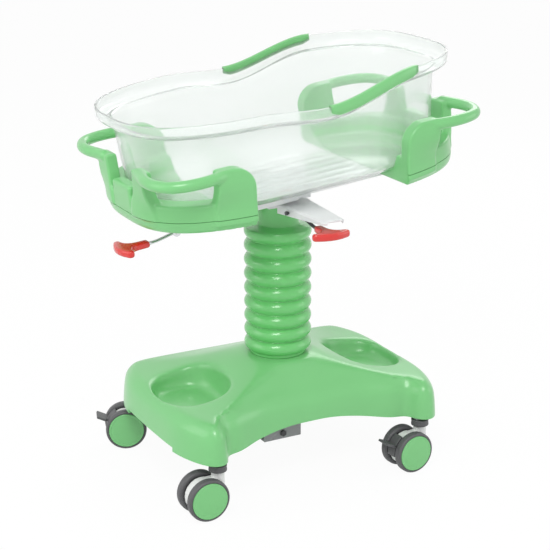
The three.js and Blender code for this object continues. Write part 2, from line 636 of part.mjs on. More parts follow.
bellowsProfile.push([neckRadius + BELLOWS_WALL, ribsTop - 1], [neckRadius, ribsTop + BELLOWS_WALL]);
bellowsProfile.push([neckRadius, HEAD_HEIGHT - GAP]);
bellowsInside.push([neckRadius - BELLOWS_WALL, ribsTop - 2 * BELLOWS_WALL]);
bellowsInside.push([neckRadius - BELLOWS_WALL, HEAD_HEIGHT - GAP]);
bellowsInside.reverse();
piece('bellows', solid(turned([...bellowsProfile, ...bellowsInside], FINE_ROUND, true)), BELLOWS_GREEN);

// Column head: a plate with two cheeks for the tilt pin, a tongue for the squeeze plate and a spring anchor
const headBottom = HEAD_HEIGHT + GAP;
const headTop = headBottom + HEAD_THICKNESS;
const PIVOT_HEIGHT = headTop + PIVOT_RISE;
const WING_TOP = PIVOT_HEIGHT - WING_DROP;
const HEIGHT_LEVER_Z = WING_TOP - HEIGHT_LEVER_DROP;
const LEVER_PIVOT_Z = WING_TOP - LEVER_PIVOT_DROP;
const ANCHOR_Z = headBottom - ANCHOR_DROP;
const cheekOutside = HEAD_WIDTH / 2;
const wingRoot = -(LUG_START + LUG_THICKNESS + LUG_CLEARANCE);
const tongueTip = wingRoot - TONGUE_LENGTH;
const wingHalf = (y) => {
  const share = (y - wingRoot) / (WING_TIP_Y - wingRoot);
  return (WING_ROOT_WIDTH + share * (WING_TIP_WIDTH - WING_ROOT_WIDTH)) / 2;
};
const tongueHalf = wingHalf(tongueTip) - WING_SHEET - WING_BEND;
const pinHole = rod([0, -HEAD_WIDTH, PIVOT_HEIGHT], [0, HEAD_WIDTH, PIVOT_HEIGHT], PIN_DIAMETER + 2 * GAP);
const cheeks = [-1, 1].map((side) => {
  const [low, high] = [side * cheekOutside, side * (cheekOutside - CHEEK_THICKNESS)].sort((a, b) => a - b);
  return joined(
    rod([0, low, PIVOT_HEIGHT], [0, high, PIVOT_HEIGHT], 2 * CHEEK_RADIUS),
    block([-CHEEK_RADIUS, low, headTop - 1], [CHEEK_RADIUS, high, PIVOT_HEIGHT]));
});
const armInside = EYE_THICKNESS / 2 + 1;
const armOutline = [
  [-HEAD_LENGTH / 2 + 20, headBottom + 1], [-HEAD_LENGTH / 2 + 20, headTop], [-HEAD_LENGTH / 2 - 6, headTop],
  [ANCHOR_X - 8, ANCHOR_Z + 6], [ANCHOR_X - 8, ANCHOR_Z - 8], [ANCHOR_X + 8, ANCHOR_Z - 8],
  [-HEAD_LENGTH / 2, headBottom + 1],
];
const anchor = joined(
  slab(armOutline, -armInside - ANCHOR_ARM, -armInside), slab(armOutline, armInside, armInside + ANCHOR_ARM),
  rod([ANCHOR_X, -armInside - 1, ANCHOR_Z], [ANCHOR_X, armInside + 1, ANCHOR_Z], ANCHOR_PIN_DIAMETER, 16));
piece('column_head', joined(
  block([-HEAD_LENGTH / 2, -HEAD_WIDTH / 2, headBottom], [HEAD_LENGTH / 2, HEAD_WIDTH / 2, headTop]),
  block([-tongueHalf, wingRoot, headBottom], [tongueHalf, -HEAD_WIDTH / 2 + 1, headTop]),
  block([-tongueHalf, tongueTip, headBottom], [tongueHalf, wingRoot + 1, WING_TOP - WING_SHEET - GAP]),
  ...cheeks, anchor,
).subtract(pinHole), WHITE_STEEL);
const pinHalf = LUG_START + LUG_THICKNESS + 4;
piece('tilt_pin', rod([0, -pinHalf, PIVOT_HEIGHT], [0, pinHalf, PIVOT_HEIGHT], PIN_DIAMETER), BRIGHT_STEEL);

// Squeeze plate: a tapering channel, open below, that a hand holds while it pulls the height lever up
function wingSection(y, half, depth) {
  const outside = [[-half, -depth], [-half, -WING_BEND], [-half + WING_BEND, 0]];
  const inside = [[-half + WING_SHEET, -depth], [-half + WING_SHEET, -WING_BEND], [-half + WING_BEND, -WING_SHEET]];
  const mirrored = (points) => points.map(([x, z]) => [-x, z]).reverse();
  return [...outside, ...mirrored(outside), ...inside, ...mirrored(inside)]
    .slice(0, 6)
    .concat([...inside, ...mirrored(inside)].reverse())
    .map(([x, z]) => new THREE.Vector3(x, y, WING_TOP + z));
}
const leverPinHalf = wingHalf(LEVER_PIVOT_Y) + BOLT_HEAD / 2;
const wing = loft([
  wingSection(wingRoot, wingHalf(wingRoot), WING_ROOT_DEPTH),
  wingSection(WING_TIP_Y + 10, wingHalf(WING_TIP_Y + 10), WING_TIP_DEPTH + 1),
  wingSection(WING_TIP_Y, wingHalf(WING_TIP_Y) - 7, WING_TIP_DEPTH),
], fromSide).subtract(rod([-HEAD_LENGTH, LEVER_PIVOT_Y, LEVER_PIVOT_Z], [HEAD_LENGTH, LEVER_PIVOT_Y, LEVER_PIVOT_Z],
  LEVER_PIN_DIAMETER + 2 * GAP, 16));
piece('squeeze_plate', wing, WHITE_STEEL);
piece('lever_pin', joined(
  rod([-leverPinHalf, LEVER_PIVOT_Y, LEVER_PIVOT_Z], [leverPinHalf, LEVER_PIVOT_Y, LEVER_PIVOT_Z],
    LEVER_PIN_DIAMETER, 16),
  rod([-leverPinHalf - BOLT_HEAD, LEVER_PIVOT_Y, LEVER_PIVOT_Z], [-leverPinHalf, LEVER_PIVOT_Y, LEVER_PIVOT_Z],
    BOLT_DIAMETER, 6),
), DARK_STEEL);

// A moulded fishtail grip: its neck starts at the origin and it points along -Y, flat in plan.
function leverGrip() {
  const [neck, bar] = [GRIP_NECK_DIAMETER / 2, GRIP_BAR_WIDTH / 2];
  const back = GRIP_LENGTH - GRIP_BAR_DEPTH;
  const lobe = back + 0.64 * GRIP_BAR_DEPTH;
  const shape = new THREE.Shape();
  shape.moveTo(-neck, 0);
  shape.lineTo(-neck - 1, -0.55 * back);
  shape.quadraticCurveTo(-neck - 3, -back, -bar + 8, -back - 1);
  shape.bezierCurveTo(-bar - 2, -back, -bar - 2, -lobe, -bar + 8, -lobe - 1);
  shape.quadraticCurveTo(0, -2 * GRIP_LENGTH + lobe, bar - 8, -lobe - 1);
  shape.bezierCurveTo(bar + 2, -lobe, bar + 2, -back, bar - 8, -back - 1);
  shape.quadraticCurveTo(neck + 3, -back, neck + 1, -0.55 * back);
  shape.lineTo(neck, 0);
  const geometry = new THREE.ExtrudeGeometry(shape, {
    depth: GRIP_THICKNESS - 2 * GRIP_ROUND, bevelThickness: GRIP_ROUND, bevelSize: GRIP_ROUND,
    bevelOffset: -GRIP_ROUND, bevelSegments: 2, curveSegments: 5,
  });
  geometry.translate(0, 0, GRIP_ROUND - GRIP_THICKNESS / 2);
  return solid(geometry).subtract(
    rod([0, 5, 0], [0, -GRIP_LENGTH / 2, 0], LEVER_ROD_DIAMETER + 2 * GAP, 16));
}

// Height lever: a bent rod on the pin between the flanges of the squeeze plate, with the grip on its end
const hubHalf = wingHalf(LEVER_PIVOT_Y - LEVER_HUB_DIAMETER / 2) - WING_SHEET - 2 * GAP;
const neckY = HEIGHT_LEVER_Y + GRIP_LENGTH - GRIP_BAR_DEPTH / 2;
const heightRod = joined(
  rod([-hubHalf, LEVER_PIVOT_Y, LEVER_PIVOT_Z], [hubHalf, LEVER_PIVOT_Y, LEVER_PIVOT_Z], LEVER_HUB_DIAMETER, 16),
  bent([
    [HEIGHT_LEVER_X, LEVER_PIVOT_Y - 3, LEVER_PIVOT_Z], [HEIGHT_LEVER_X, LEVER_PIVOT_Y - 26, LEVER_PIVOT_Z - 8],
    [HEIGHT_LEVER_X, neckY + 14, HEIGHT_LEVER_Z], [HEIGHT_LEVER_X, neckY + 3, HEIGHT_LEVER_Z],
  ], LEVER_ROD_DIAMETER, 8),
  rod([HEIGHT_LEVER_X, neckY + 6, HEIGHT_LEVER_Z], [HEIGHT_LEVER_X, neckY - GRIP_LENGTH / 2 + 1, HEIGHT_LEVER_Z],
    LEVER_ROD_DIAMETER, 16),
).subtract(rod([-hubHalf - 1, LEVER_PIVOT_Y, LEVER_PIVOT_Z], [hubHalf + 1, LEVER_PIVOT_Y, LEVER_PIVOT_Z],
  LEVER_PIN_DIAMETER + 2 * GAP, 16));
piece('height_lever_rod', heightRod, DARK_STEEL);
piece('height_lever_grip', leverGrip().translate([HEIGHT_LEVER_X, neckY, HEIGHT_LEVER_Z]), RED_PLASTIC);

// Everything above the tilt pin stands in the tub's own frame
const tilted = new THREE.Group();
tilted.position.set(0, 0, PIVOT_HEIGHT);
tilted.rotation.y = -REST_TILT;
object.add(tilted);
const tubFrame = new THREE.Group();
tubFrame.position.set(TUB_SHIFT, 0, TUB_RAISE);
tilted.add(tubFrame);

// Tilt frame: a deck along the tub, a wider pan over the column, two ribs and the lugs on the pin
const [pinX, pinZ] = [-TUB_SHIFT, -TUB_RAISE];
const deckHalf = DECK_LENGTH / 2;
let tiltFrame = joined(
  block([-deckHalf, -DECK_WIDTH / 2, 0], [deckHalf, DECK_WIDTH / 2, DECK_SHEET]),
  block([PAN_FOOT_X, -PAN_WIDTH / 2, 0], [PAN_HEAD_X, PAN_WIDTH / 2, DECK_SHEET]));
for (const side of [-1, 1]) {
  const span = (from, to) => [side * from, side * to].sort((a, b) => a - b);
  const [flangeLow, flangeHigh] = span(PAN_WIDTH / 2 - DECK_SHEET, PAN_WIDTH / 2);
  const [ribLow, ribHigh] = span(DECK_WIDTH / 2 - RIB_THICKNESS, DECK_WIDTH / 2);
  const [lugLow, lugHigh] = span(LUG_START, LUG_START + LUG_THICKNESS);
  tiltFrame = joined(tiltFrame,
    block([PAN_FOOT_X, flangeLow, -PAN_FLANGE], [PAN_HEAD_X, flangeHigh, 1]),
    block([-deckHalf + 4, ribLow, -RIB_DEPTH], [deckHalf - 4, ribHigh, 1]),
    rod([pinX, lugLow, pinZ], [pinX, lugHigh, pinZ], 2 * LUG_RADIUS),
    block([pinX - LUG_RADIUS, lugLow, pinZ], [pinX + LUG_RADIUS, lugHigh, 1]));
}
tiltFrame = tiltFrame.subtract(rod([pinX, -PAN_WIDTH, pinZ], [pinX, PAN_WIDTH, pinZ], PIN_DIAMETER + 2 * GAP));
piece('tilt_frame', tiltFrame, WHITE_STEEL, tubFrame);

// Release bracket: two ears under the deck that hold the gas spring's eye and carry the foot lever
const earInside = EYE_THICKNESS / 2 + 1;
const earOutside = earInside + ANCHOR_ARM;
const stubEnd = earOutside + LEVER_HUB_DIAMETER;
const earTop = -GAP;
const earOutline = [
  [RELEASE_X + RELEASE_LENGTH / 2, earTop], [FOOT_PIVOT_X - 12, earTop], [FOOT_PIVOT_X - 12, FOOT_PIVOT_Z - 9],
  [RELEASE_X + 10, RELEASE_Z - 11],
];
piece('release_bracket', joined(
  slab(earOutline, -earOutside, -earInside), slab(earOutline, earInside, earOutside),
  block([FOOT_PIVOT_X - 12, -earOutside, earTop - 5], [RELEASE_X + RELEASE_LENGTH / 2, earOutside, earTop]),
  rod([RELEASE_X, -earInside - 1, RELEASE_Z], [RELEASE_X, earInside + 1, RELEASE_Z], ANCHOR_PIN_DIAMETER, 16),
  rod([FOOT_PIVOT_X, -stubEnd, FOOT_PIVOT_Z], [FOOT_PIVOT_X, -earOutside + 1, FOOT_PIVOT_Z], ANCHOR_PIN_DIAMETER, 16),
), PALE_PLASTIC, tubFrame);

// Foot lever: a rod with a hub on the bracket's stub, and the same grip turned to the foot end
const hubNear = -stubEnd + 1;
const hubFar = -earOutside - GAP;
const footLeverY = (hubNear + hubFar) / 2;
const footNeckX = FOOT_LEVER_X + GRIP_LENGTH - GRIP_BAR_DEPTH / 2;
const footHub = LEVER_HUB_DIAMETER + 6;
const footRod = joined(
  rod([FOOT_PIVOT_X, hubNear, FOOT_PIVOT_Z], [FOOT_PIVOT_X, hubFar, FOOT_PIVOT_Z], footHub, 16),
  bent([
    [FOOT_PIVOT_X - 7, footLeverY, FOOT_PIVOT_Z - 1], [(FOOT_PIVOT_X + footNeckX) / 2, footLeverY, FOOT_LEVER_Z + 3],
    [footNeckX + 14, footLeverY, FOOT_LEVER_Z], [footNeckX + 3, footLeverY, FOOT_LEVER_Z],
  ], LEVER_ROD_DIAMETER, 8),
  rod([footNeckX + 6, footLeverY, FOOT_LEVER_Z], [footNeckX - GRIP_LENGTH / 2 + 1, footLeverY, FOOT_LEVER_Z],
    LEVER_ROD_DIAMETER, 16),
).subtract(rod([FOOT_PIVOT_X, hubNear - 1, FOOT_PIVOT_Z], [FOOT_PIVOT_X, hubFar + 1, FOOT_PIVOT_Z],
  ANCHOR_PIN_DIAMETER + 2 * GAP, 16));
piece('foot_lever_rod', footRod, DARK_STEEL, tubFrame);
piece('foot_lever_grip', leverGrip().rotate([0, 0, -90]).translate([footNeckX, footLeverY, FOOT_LEVER_Z]),
  RED_PLASTIC, tubFrame);

// Tilt gas spring: its barrel's eye is on the bracket's pin and its rod's eye on the column head's anchor
const tiltedPlace = new THREE.Vector3(RELEASE_X + TUB_SHIFT, 0, RELEASE_Z + TUB_RAISE)
  .applyAxisAngle(new THREE.Vector3(0, 1, 0), -REST_TILT).add(new THREE.Vector3(0, 0, PIVOT_HEIGHT));
const springRun = new THREE.Vector3(ANCHOR_X, 0, ANCHOR_Z).sub(tiltedPlace);
const springAim = new THREE.Group();
springAim.position.copy(tiltedPlace);
springAim.quaternion.setFromUnitVectors(new THREE.Vector3(0, 0, 1), springRun.clone().normalize());
object.add(springAim);
const rodEnd = springRun.length();
const barrelStart = ANCHOR_PIN_DIAMETER / 2 + EYE_WALL;
const barrelEnd = barrelStart + TILT_SPRING_LENGTH;
const barrel = TILT_SPRING_DIAMETER / 2;
const tiltRod = TILT_ROD_DIAMETER / 2;
const eye = (at, slack) => rod([0, -EYE_THICKNESS / 2, at], [0, EYE_THICKNESS / 2, at],
  ANCHOR_PIN_DIAMETER + 2 * (slack + EYE_WALL));
const eyeHole = (at, slack) => rod([0, -EYE_THICKNESS, at], [0, EYE_THICKNESS, at],
  ANCHOR_PIN_DIAMETER + 2 * slack, 16);
piece('tilt_spring_barrel', joined(solid(turned([
  [0, barrelStart - 2], [barrel, barrelStart - 2], [barrel, barrelEnd], [tiltRod + GAP, barrelEnd],
  [tiltRod + GAP, barrelEnd - SPRING_CAP], [barrel - TILT_SPRING_WALL, barrelEnd - SPRING_CAP],
  [barrel - TILT_SPRING_WALL, barrelStart + SPRING_CAP], [0, barrelStart + SPRING_CAP],
])), eye(0, GAP)).subtract(eyeHole(0, GAP)), DARK_STEEL, springAim);
piece('tilt_spring_rod', joined(
  rod([0, 0, barrelEnd - TILT_ROD_INSIDE], [0, 0, rodEnd - ANCHOR_PIN_DIAMETER / 2 - EYE_SLACK - 1], TILT_ROD_DIAMETER),
  eye(rodEnd, EYE_SLACK)).subtract(eyeHole(rodEnd, EYE_SLACK)), BRIGHT_STEEL, springAim);

// A superellipse with evenly spaced points, as shares of its half length and half width.
function spacedOutline(count, halfX, halfY, roundness) {
  const fine = 400;
  const curve = superellipse(halfX, halfY, roundness, 4 * fine).slice(0, fine + 1);
  const along = [0];
  for (let i = 1; i <= fine; i += 1) along.push(along[i - 1] + curve[i].distanceTo(curve[i - 1]));
  const quarter = Array.from({ length: count / 4 }, (_, k) => {
    const goal = along[fine] * k / (count / 4);
    const i = along.findIndex((length) => length >= goal);
    return [curve[i].x / halfX, curve[i].y / halfY];
  });
  const half = [...quarter, [0, 1], ...quarter.slice(1).reverse().map(([x, y]) => [-x, y])];
  return [...half, ...half.map(([x, y]) => [-x, -y])];
}
const tubOutline = spacedOutline(OUTLINE_POINTS, TUB_LENGTH / 2, TUB_WIDTH / 2, TUB_ROUNDNESS);
const outlineAt = (halfX, halfY, height) => tubOutline.map(([x, y]) => new THREE.Vector3(x * halfX, y * halfY, height));

// Tub: a rounded bowl with a rolled lip; its rim dips at the sides and then steps up towards the head end
const wallX = TUB_LENGTH / 2 - LIP_OVERHANG;
const wallY = TUB_WIDTH / 2 - LIP_OVERHANG;
const rimHeight = tubOutline.map(([x]) => {
  const along = x * TUB_LENGTH / 2;
  const foot = 1 - THREE.MathUtils.smoothstep(along, DIP_START, STEP_START);
  const head = THREE.MathUtils.smoothstep(along, STEP_START, STEP_END);
  return SIDE_RIM + foot * (FOOT_RIM - SIDE_RIM) + head * (HEAD_RIM - SIDE_RIM);
});
const lipAt = (grow, below) => outlineAt(wallX + grow, wallY + grow, 0)
  .map((point, i) => point.setZ(rimHeight[i] - below));

const bowlLevel = (share, grow, height) => outlineAt(
  wallX - share * FLOOR_INSET_X + grow, wallY - share * FLOOR_INSET_Y + grow, height);

// The lower skin of the tub, grown outwards; its bottom drops by its own amount.
function bowl(grow, drop) {
  return [
    bowlLevel(1, grow, TUB_BOTTOM - drop),
    bowlLevel(0.77, grow, TUB_BOTTOM + 0.07 * FLOOR_INSET_X - drop),
    bowlLevel(0.45, grow, TUB_BOTTOM + 0.29 * FLOOR_INSET_X - drop / 2),
    bowlLevel(0.2, grow, TUB_BOTTOM + 0.71 * FLOOR_INSET_X),
  ];
}
const lip = LIP_OVERHANG;
const tubOuter = loft([
  ...bowl(0, 0), lipAt(0, LIP_DEPTH), lipAt(0.35 * lip, 0.78 * LIP_DEPTH), lipAt(0.85 * lip, 0.62 * LIP_DEPTH),
  lipAt(lip, 0.4 * LIP_DEPTH), lipAt(lip, -3),
], inPlan);
const tubInner = loft([
  ...bowl(-TUB_WALL, -TUB_WALL), lipAt(-TUB_WALL, LIP_DEPTH - 0.45 * TUB_WALL),
  lipAt(0.35 * lip - 0.55 * TUB_WALL, 0.78 * LIP_DEPTH - 0.85 * TUB_WALL),
  lipAt(0.85 * lip - 0.74 * TUB_WALL, 0.62 * LIP_DEPTH - 0.77 * TUB_WALL),
  lipAt(lip - TUB_WALL, 0.4 * LIP_DEPTH - 0.23 * TUB_WALL), lipAt(lip - TUB_WALL, 0), lipAt(lip + 16, -1),
  lipAt(lip + 16, -LIP_DEPTH),
], inPlan);
piece('tub', tubOuter.subtract(tubInner), CLEAR, tubFrame);

// Rim trims: green channels over the lip where it steps up, one on each long side
function rimTrim(side) {
  const stations = tubOutline.map((_, i) => i).filter((i) => {
    const [x, y] = tubOutline[i];
    return y * side > 0.7 && x * TUB_LENGTH / 2 > TRIM_START && x * TUB_LENGTH / 2 < TRIM_END;
  });
  const section = (off) => [
    [lip + off, TRIM_OUTER_DROP], [lip + off, -TRIM_FIT - off],
    [lip - TUB_WALL - off, -TRIM_FIT - off], [lip - TUB_WALL - off, TRIM_INNER_DROP],
  ];
  const rings = stations.map((i) => {
    const [x, y] = tubOutline[i];
    const channel = [...section(TRIM_FIT), ...section(TRIM_FIT + TRIM_THICKNESS).reverse()];
    return channel.map(([grow, below]) => new THREE.Vector3(
      x * (wallX + grow), y * (wallY + grow), rimHeight[i] - below));
  });
  return loft(rings, fromEnd);
}
piece('rim_trim_near', rimTrim(-1), GREEN, tubFrame);
piece('rim_trim_far', rimTrim(1), GREEN, tubFrame);

// End cradle: a hollow tray under the tub with side plates, two legs and a grip bar round each corner
function cradle() {
  const [halfX, halfY] = [(TUB_LENGTH - CRADLE_SHORTER) / 2, (TUB_WIDTH - CRADLE_NARROWER) / 2];
  const beyond = TUB_LENGTH;
  const plateFace = halfY + PLATE_PROUD;
  const barEnd = halfX + BAR_PROUD_X;
  const barSide = halfY + BAR_PROUD_Y;
  const room = loft([...bowl(2 * GAP, GAP), outlineAt(wallX + 2 * GAP, wallY + 2 * GAP, PLATE_TOP + 40)], inPlan);
  const lining = loft([
    ...bowl(CRADLE_WALL, CRADLE_WALL), outlineAt(wallX + CRADLE_WALL, wallY + CRADLE_WALL, PLATE_TOP + 40)], inPlan);
  const outside = loft([
    outlineAt(halfX - 9, halfY - 8, CRADLE_BOTTOM), outlineAt(halfX - 2, halfY - 2, CRADLE_BOTTOM + 9),
    outlineAt(halfX, halfY, CRADLE_BOTTOM + 26), outlineAt(halfX - 2, halfY - 2, CRADLE_SILL),
  ], inPlan).intersect(block([CRADLE_INNER_X, -beyond, 0], [beyond, beyond, beyond]));
  const inset = CRADLE_WALL;
  const hollow = loft([
    outlineAt(halfX - 9 - inset, halfY - 8 - inset, CRADLE_BOTTOM - 5),
    outlineAt(halfX - 2 - inset, halfY - 2 - inset, CRADLE_BOTTOM + 9),
    outlineAt(halfX - 2 - inset, halfY - 2 - inset, CRADLE_SILL - inset),
  ], inPlan).subtract(lining).intersect(
    block([CRADLE_INNER_X + inset, -beyond, -beyond], [beyond, beyond, beyond]));
  let body = outside.subtract(hollow);

  const plateFoot = CRADLE_BOTTOM + 12;
  const plateOutline = (inner) => {
    const shape = new THREE.Shape();
    shape.moveTo(CRADLE_INNER_X + inner, plateFoot + inner);
    shape.lineTo(PLATE_END_X - inner, plateFoot + inner);
    shape.lineTo(PLATE_END_X - inner, PLATE_TOP - inner);
    shape.lineTo(CRADLE_INNER_X + PLATE_ROUND, PLATE_TOP - inner);
    shape.absellipse(CRADLE_INNER_X + PLATE_ROUND, PLATE_TOP - PLATE_ROUND, PLATE_ROUND - inner, PLATE_ROUND - inner,
      Math.PI / 2, Math.PI, false);
    return shape.getPoints(8).map((point) => [point.x, point.y]);
  };
  // A plate's foot follows the wall of the tray and its face straightens as it rises to the grip bar.
  const plateBody = (side, inner) => {
    const stops = [0, 1, 2, 3, 4].map((k) => CRADLE_INNER_X - 1 + k * (PLATE_END_X - CRADLE_INNER_X + 2) / 4);
    const level = (height, straight) => {
      const face = stops.map((x) => {
        const wall = halfY * (1 - (x / halfX) ** TUB_ROUNDNESS) ** (1 / TUB_ROUNDNESS);
        return [x, THREE.MathUtils.lerp(wall, plateFace, straight)];
      });
      const back = face.map(([x, y]) => [x, y - PLATE_DEPTH - inner]).reverse();
      const ring = [...face.map(([x, y]) => [x, y - inner]), ...back]
        .map(([x, y]) => new THREE.Vector3(x, side * y, height));
      return side > 0 ? ring.reverse() : ring;
    };
    const rise = loft([
      level(plateFoot - 1, 0), level(CRADLE_SILL, 0.1), level(BAR_HEIGHT - BAR_DIAMETER, 0.8),
      level(PLATE_TOP + 1, 1),
    ], inPlan);
    return rise.intersect(slab(plateOutline(inner), -beyond, beyond));
  };
  for (const side of [-1, 1]) {
    const plate = plateBody(side, 0).subtract(plateBody(side, CRADLE_WALL));
    const legLevel = (inner, outer, spread, height) => [
      [inner, -spread], [outer, -spread], [outer, spread], [inner, spread],
    ].map(([x, y]) => new THREE.Vector3(x, side * LEG_Y + y, height));
    const legFace = barEnd - 6;
    const leg = loft([
      legLevel(legFace - LEG_DEPTH, legFace, LEG_WIDTH / 2 + 24, CRADLE_SILL - 8),
      legLevel(legFace - LEG_DEPTH, legFace, LEG_WIDTH / 2 + 6, CRADLE_SILL + 22),
      legLevel(legFace - LEG_DEPTH, legFace, LEG_WIDTH / 2, BAR_HEIGHT + 5),
    ], inPlan);
    const bar = bent([
      [PLATE_END_X - 20, barSide - 13], [PLATE_END_X + 8, barSide - 3],
      [barEnd - BAR_CORNER, barSide], [barEnd - 0.57 * BAR_CORNER, barSide - 0.06 * BAR_CORNER],
      [barEnd - 0.24 * BAR_CORNER, barSide - 0.25 * BAR_CORNER],
      [barEnd - 0.04 * BAR_CORNER, barSide - 0.64 * BAR_CORNER], [barEnd, barSide - 1.1 * BAR_CORNER],
      [barEnd - 12, LEG_Y],
    ].map(([x, y]) => [x, side * y, BAR_HEIGHT]), BAR_DIAMETER, 10, 10);
    body = joined(body, plate, leg, bar);
  }
  const nose = block(
    [halfX - LEG_DEPTH, -NOSE_WIDTH / 2, CRADLE_SILL - 20], [halfX, NOSE_WIDTH / 2, NOSE_TOP]);
  return joined(body, nose).subtract(room);
}
piece('cradle_head', cradle(), GREEN, tubFrame);
piece('cradle_foot', cradle().rotate([0, 0, 180]), GREEN, tubFrame);

export default object;
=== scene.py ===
"""Hospital bassinet: a clear tub in two green cradles, on a tilting frame and a bellows column."""

import math

import bmesh
import bpy
from mathutils import Matrix, Vector


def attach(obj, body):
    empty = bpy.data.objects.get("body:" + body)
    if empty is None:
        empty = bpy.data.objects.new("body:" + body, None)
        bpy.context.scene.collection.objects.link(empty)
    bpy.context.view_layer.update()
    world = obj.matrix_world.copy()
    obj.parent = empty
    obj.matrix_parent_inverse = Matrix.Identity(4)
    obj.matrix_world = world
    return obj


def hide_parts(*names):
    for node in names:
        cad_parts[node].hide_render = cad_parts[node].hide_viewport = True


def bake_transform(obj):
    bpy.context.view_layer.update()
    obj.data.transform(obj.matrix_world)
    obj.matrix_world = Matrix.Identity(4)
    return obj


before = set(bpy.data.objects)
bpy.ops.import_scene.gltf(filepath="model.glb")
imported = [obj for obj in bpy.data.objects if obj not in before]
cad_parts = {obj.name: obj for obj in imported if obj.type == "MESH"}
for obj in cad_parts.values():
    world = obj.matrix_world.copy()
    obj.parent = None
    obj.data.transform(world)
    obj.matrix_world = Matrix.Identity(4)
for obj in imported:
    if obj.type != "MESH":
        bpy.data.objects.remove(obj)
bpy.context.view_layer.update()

# Studio: a white seamless floor and surround, a soft key lamp over the near side, weaker ones
# from both ends and a rim lamp behind. The camera stands where the photograph was taken from.
scene = bpy.context.scene
scene.view_settings.view_transform = "Standard"
white = (1.0, 1.0, 1.0, 1)
surround_strength = 0.62
floor_reach = 9
floor_drop = 0.0005
floor_whiteness = 0.95
lamp_aim = Vector((0, 0, 0.5))
camera_aim = Vector((0, 0, 0.4481))
camera_distance = 3.67
view_azimuth = math.radians(-28.388)
view_height = math.radians(18.272)


def straight_rays(tree):
    """One for rays from the camera, off gloss or through the clear tub, and otherwise nothing."""
    seen = tree.nodes.new("ShaderNodeLightPath")
    total = seen.outputs["Is Camera Ray"]
    for kind in ("Is Glossy Ray", "Is Transmission Ray"):
        larger = tree.nodes.new("ShaderNodeMath")
        larger.operation = "MAXIMUM"
        tree.links.new(total, larger.inputs[0])
        tree.links.new(seen.outputs[kind], larger.inputs[1])
        total = larger.outputs[0]
    return total


world = bpy.data.worlds.new("studio_surround")
world.use_nodes = True
tree = world.node_tree
surround = tree.nodes["Background"]
surround.inputs["Color"].default_value = white
surround.inputs["Strength"].default_value = surround_strength
paper = tree.nodes.new("ShaderNodeBackground")
paper.inputs["Color"].default_value = white
choose = tree.nodes.new("ShaderNodeMixShader")
tree.links.new(straight_rays(tree), choose.inputs[0])
tree.links.new(surround.outputs[0], choose.inputs[1])
tree.links.new(paper.outputs[0], choose.inputs[2])
tree.links.new(choose.outputs[0], tree.nodes["World Output"].inputs["Surface"])
scene.world = world

floor_mesh = bpy.data.meshes.new("studio_floor")
floor_corners = [
    (x * floor_reach, y * floor_reach, -floor_drop) for x, y in ((-1, -1), (1, -1), (1, 1), (-1, 1))
]
floor_mesh.from_pydata(floor_corners, [], [(0, 1, 2, 3)])
floor = bpy.data.objects.new("studio_floor", floor_mesh)
scene.collection.objects.link(floor)
floor_paint = bpy.data.materials.new("studio_floor")
floor_paint.use_nodes = True
tree = floor_paint.node_tree
matte = tree.nodes["Principled BSDF"]
matte.inputs["Base Color"].default_value = (0.97, 0.97, 0.97, 1)
matte.inputs["Roughness"].default_value = 0.9
matte.inputs["Specular IOR Level"].default_value = 0.1
glow = tree.nodes.new("ShaderNodeEmission")
amount = tree.nodes.new("ShaderNodeMath")
amount.operation = "MULTIPLY"
amount.inputs[1].default_value = floor_whiteness
blend = tree.nodes.new("ShaderNodeMixShader")
tree.links.new(straight_rays(tree), amount.inputs[0])
tree.links.new(amount.outputs[0], blend.inputs[0])
tree.links.new(matte.outputs[0], blend.inputs[1])
tree.links.new(glow.outputs[0], blend.inputs[2])
tree.links.new(blend.outputs[0], tree.nodes["Material Output"].inputs["Surface"])
floor_mesh.materials.append(floor_paint)

for lamp_name, place, size, power in [
    ("key_lamp", (-1.5, -2.0, 3.0), 1.3, 52),
    ("fill_lamp", (-3.0, 0.6, 1.6), 2.0, 19),
    ("rim_lamp", (2.2, 2.2, 2.6), 1.8, 26),
    ("side_lamp", (2.6, -1.4, 1.2), 1.6, 10),
]:
    lamp = bpy.data.lights.new(lamp_name, "AREA")
    lamp.size = size
    lamp.energy = power
    holder = bpy.data.objects.new(lamp_name, lamp)
    holder.location = place
    holder.rotation_euler = (lamp_aim - Vector(place)).to_track_quat("-Z", "Y").to_euler()
    scene.collection.objects.link(holder)

back = Vector(
    (
        math.sin(view_azimuth) * math.cos(view_height),
        -math.cos(view_azimuth) * math.cos(view_height),
        math.sin(view_height),
    )
)
camera_data = bpy.data.cameras.new("photo_camera")
camera_data.lens = 101.45
camera_data.sensor_width = 36
camera_data.shift_x = -0.0049
camera_data.shift_y = 0.0082
camera = bpy.data.objects.new("photo_camera", camera_data)
camera.location = camera_aim + camera_distance * back
camera.rotation_euler = (-back).to_track_quat("-Z", "Y").to_euler()
scene.collection.objects.link(camera)
scene.camera = camera


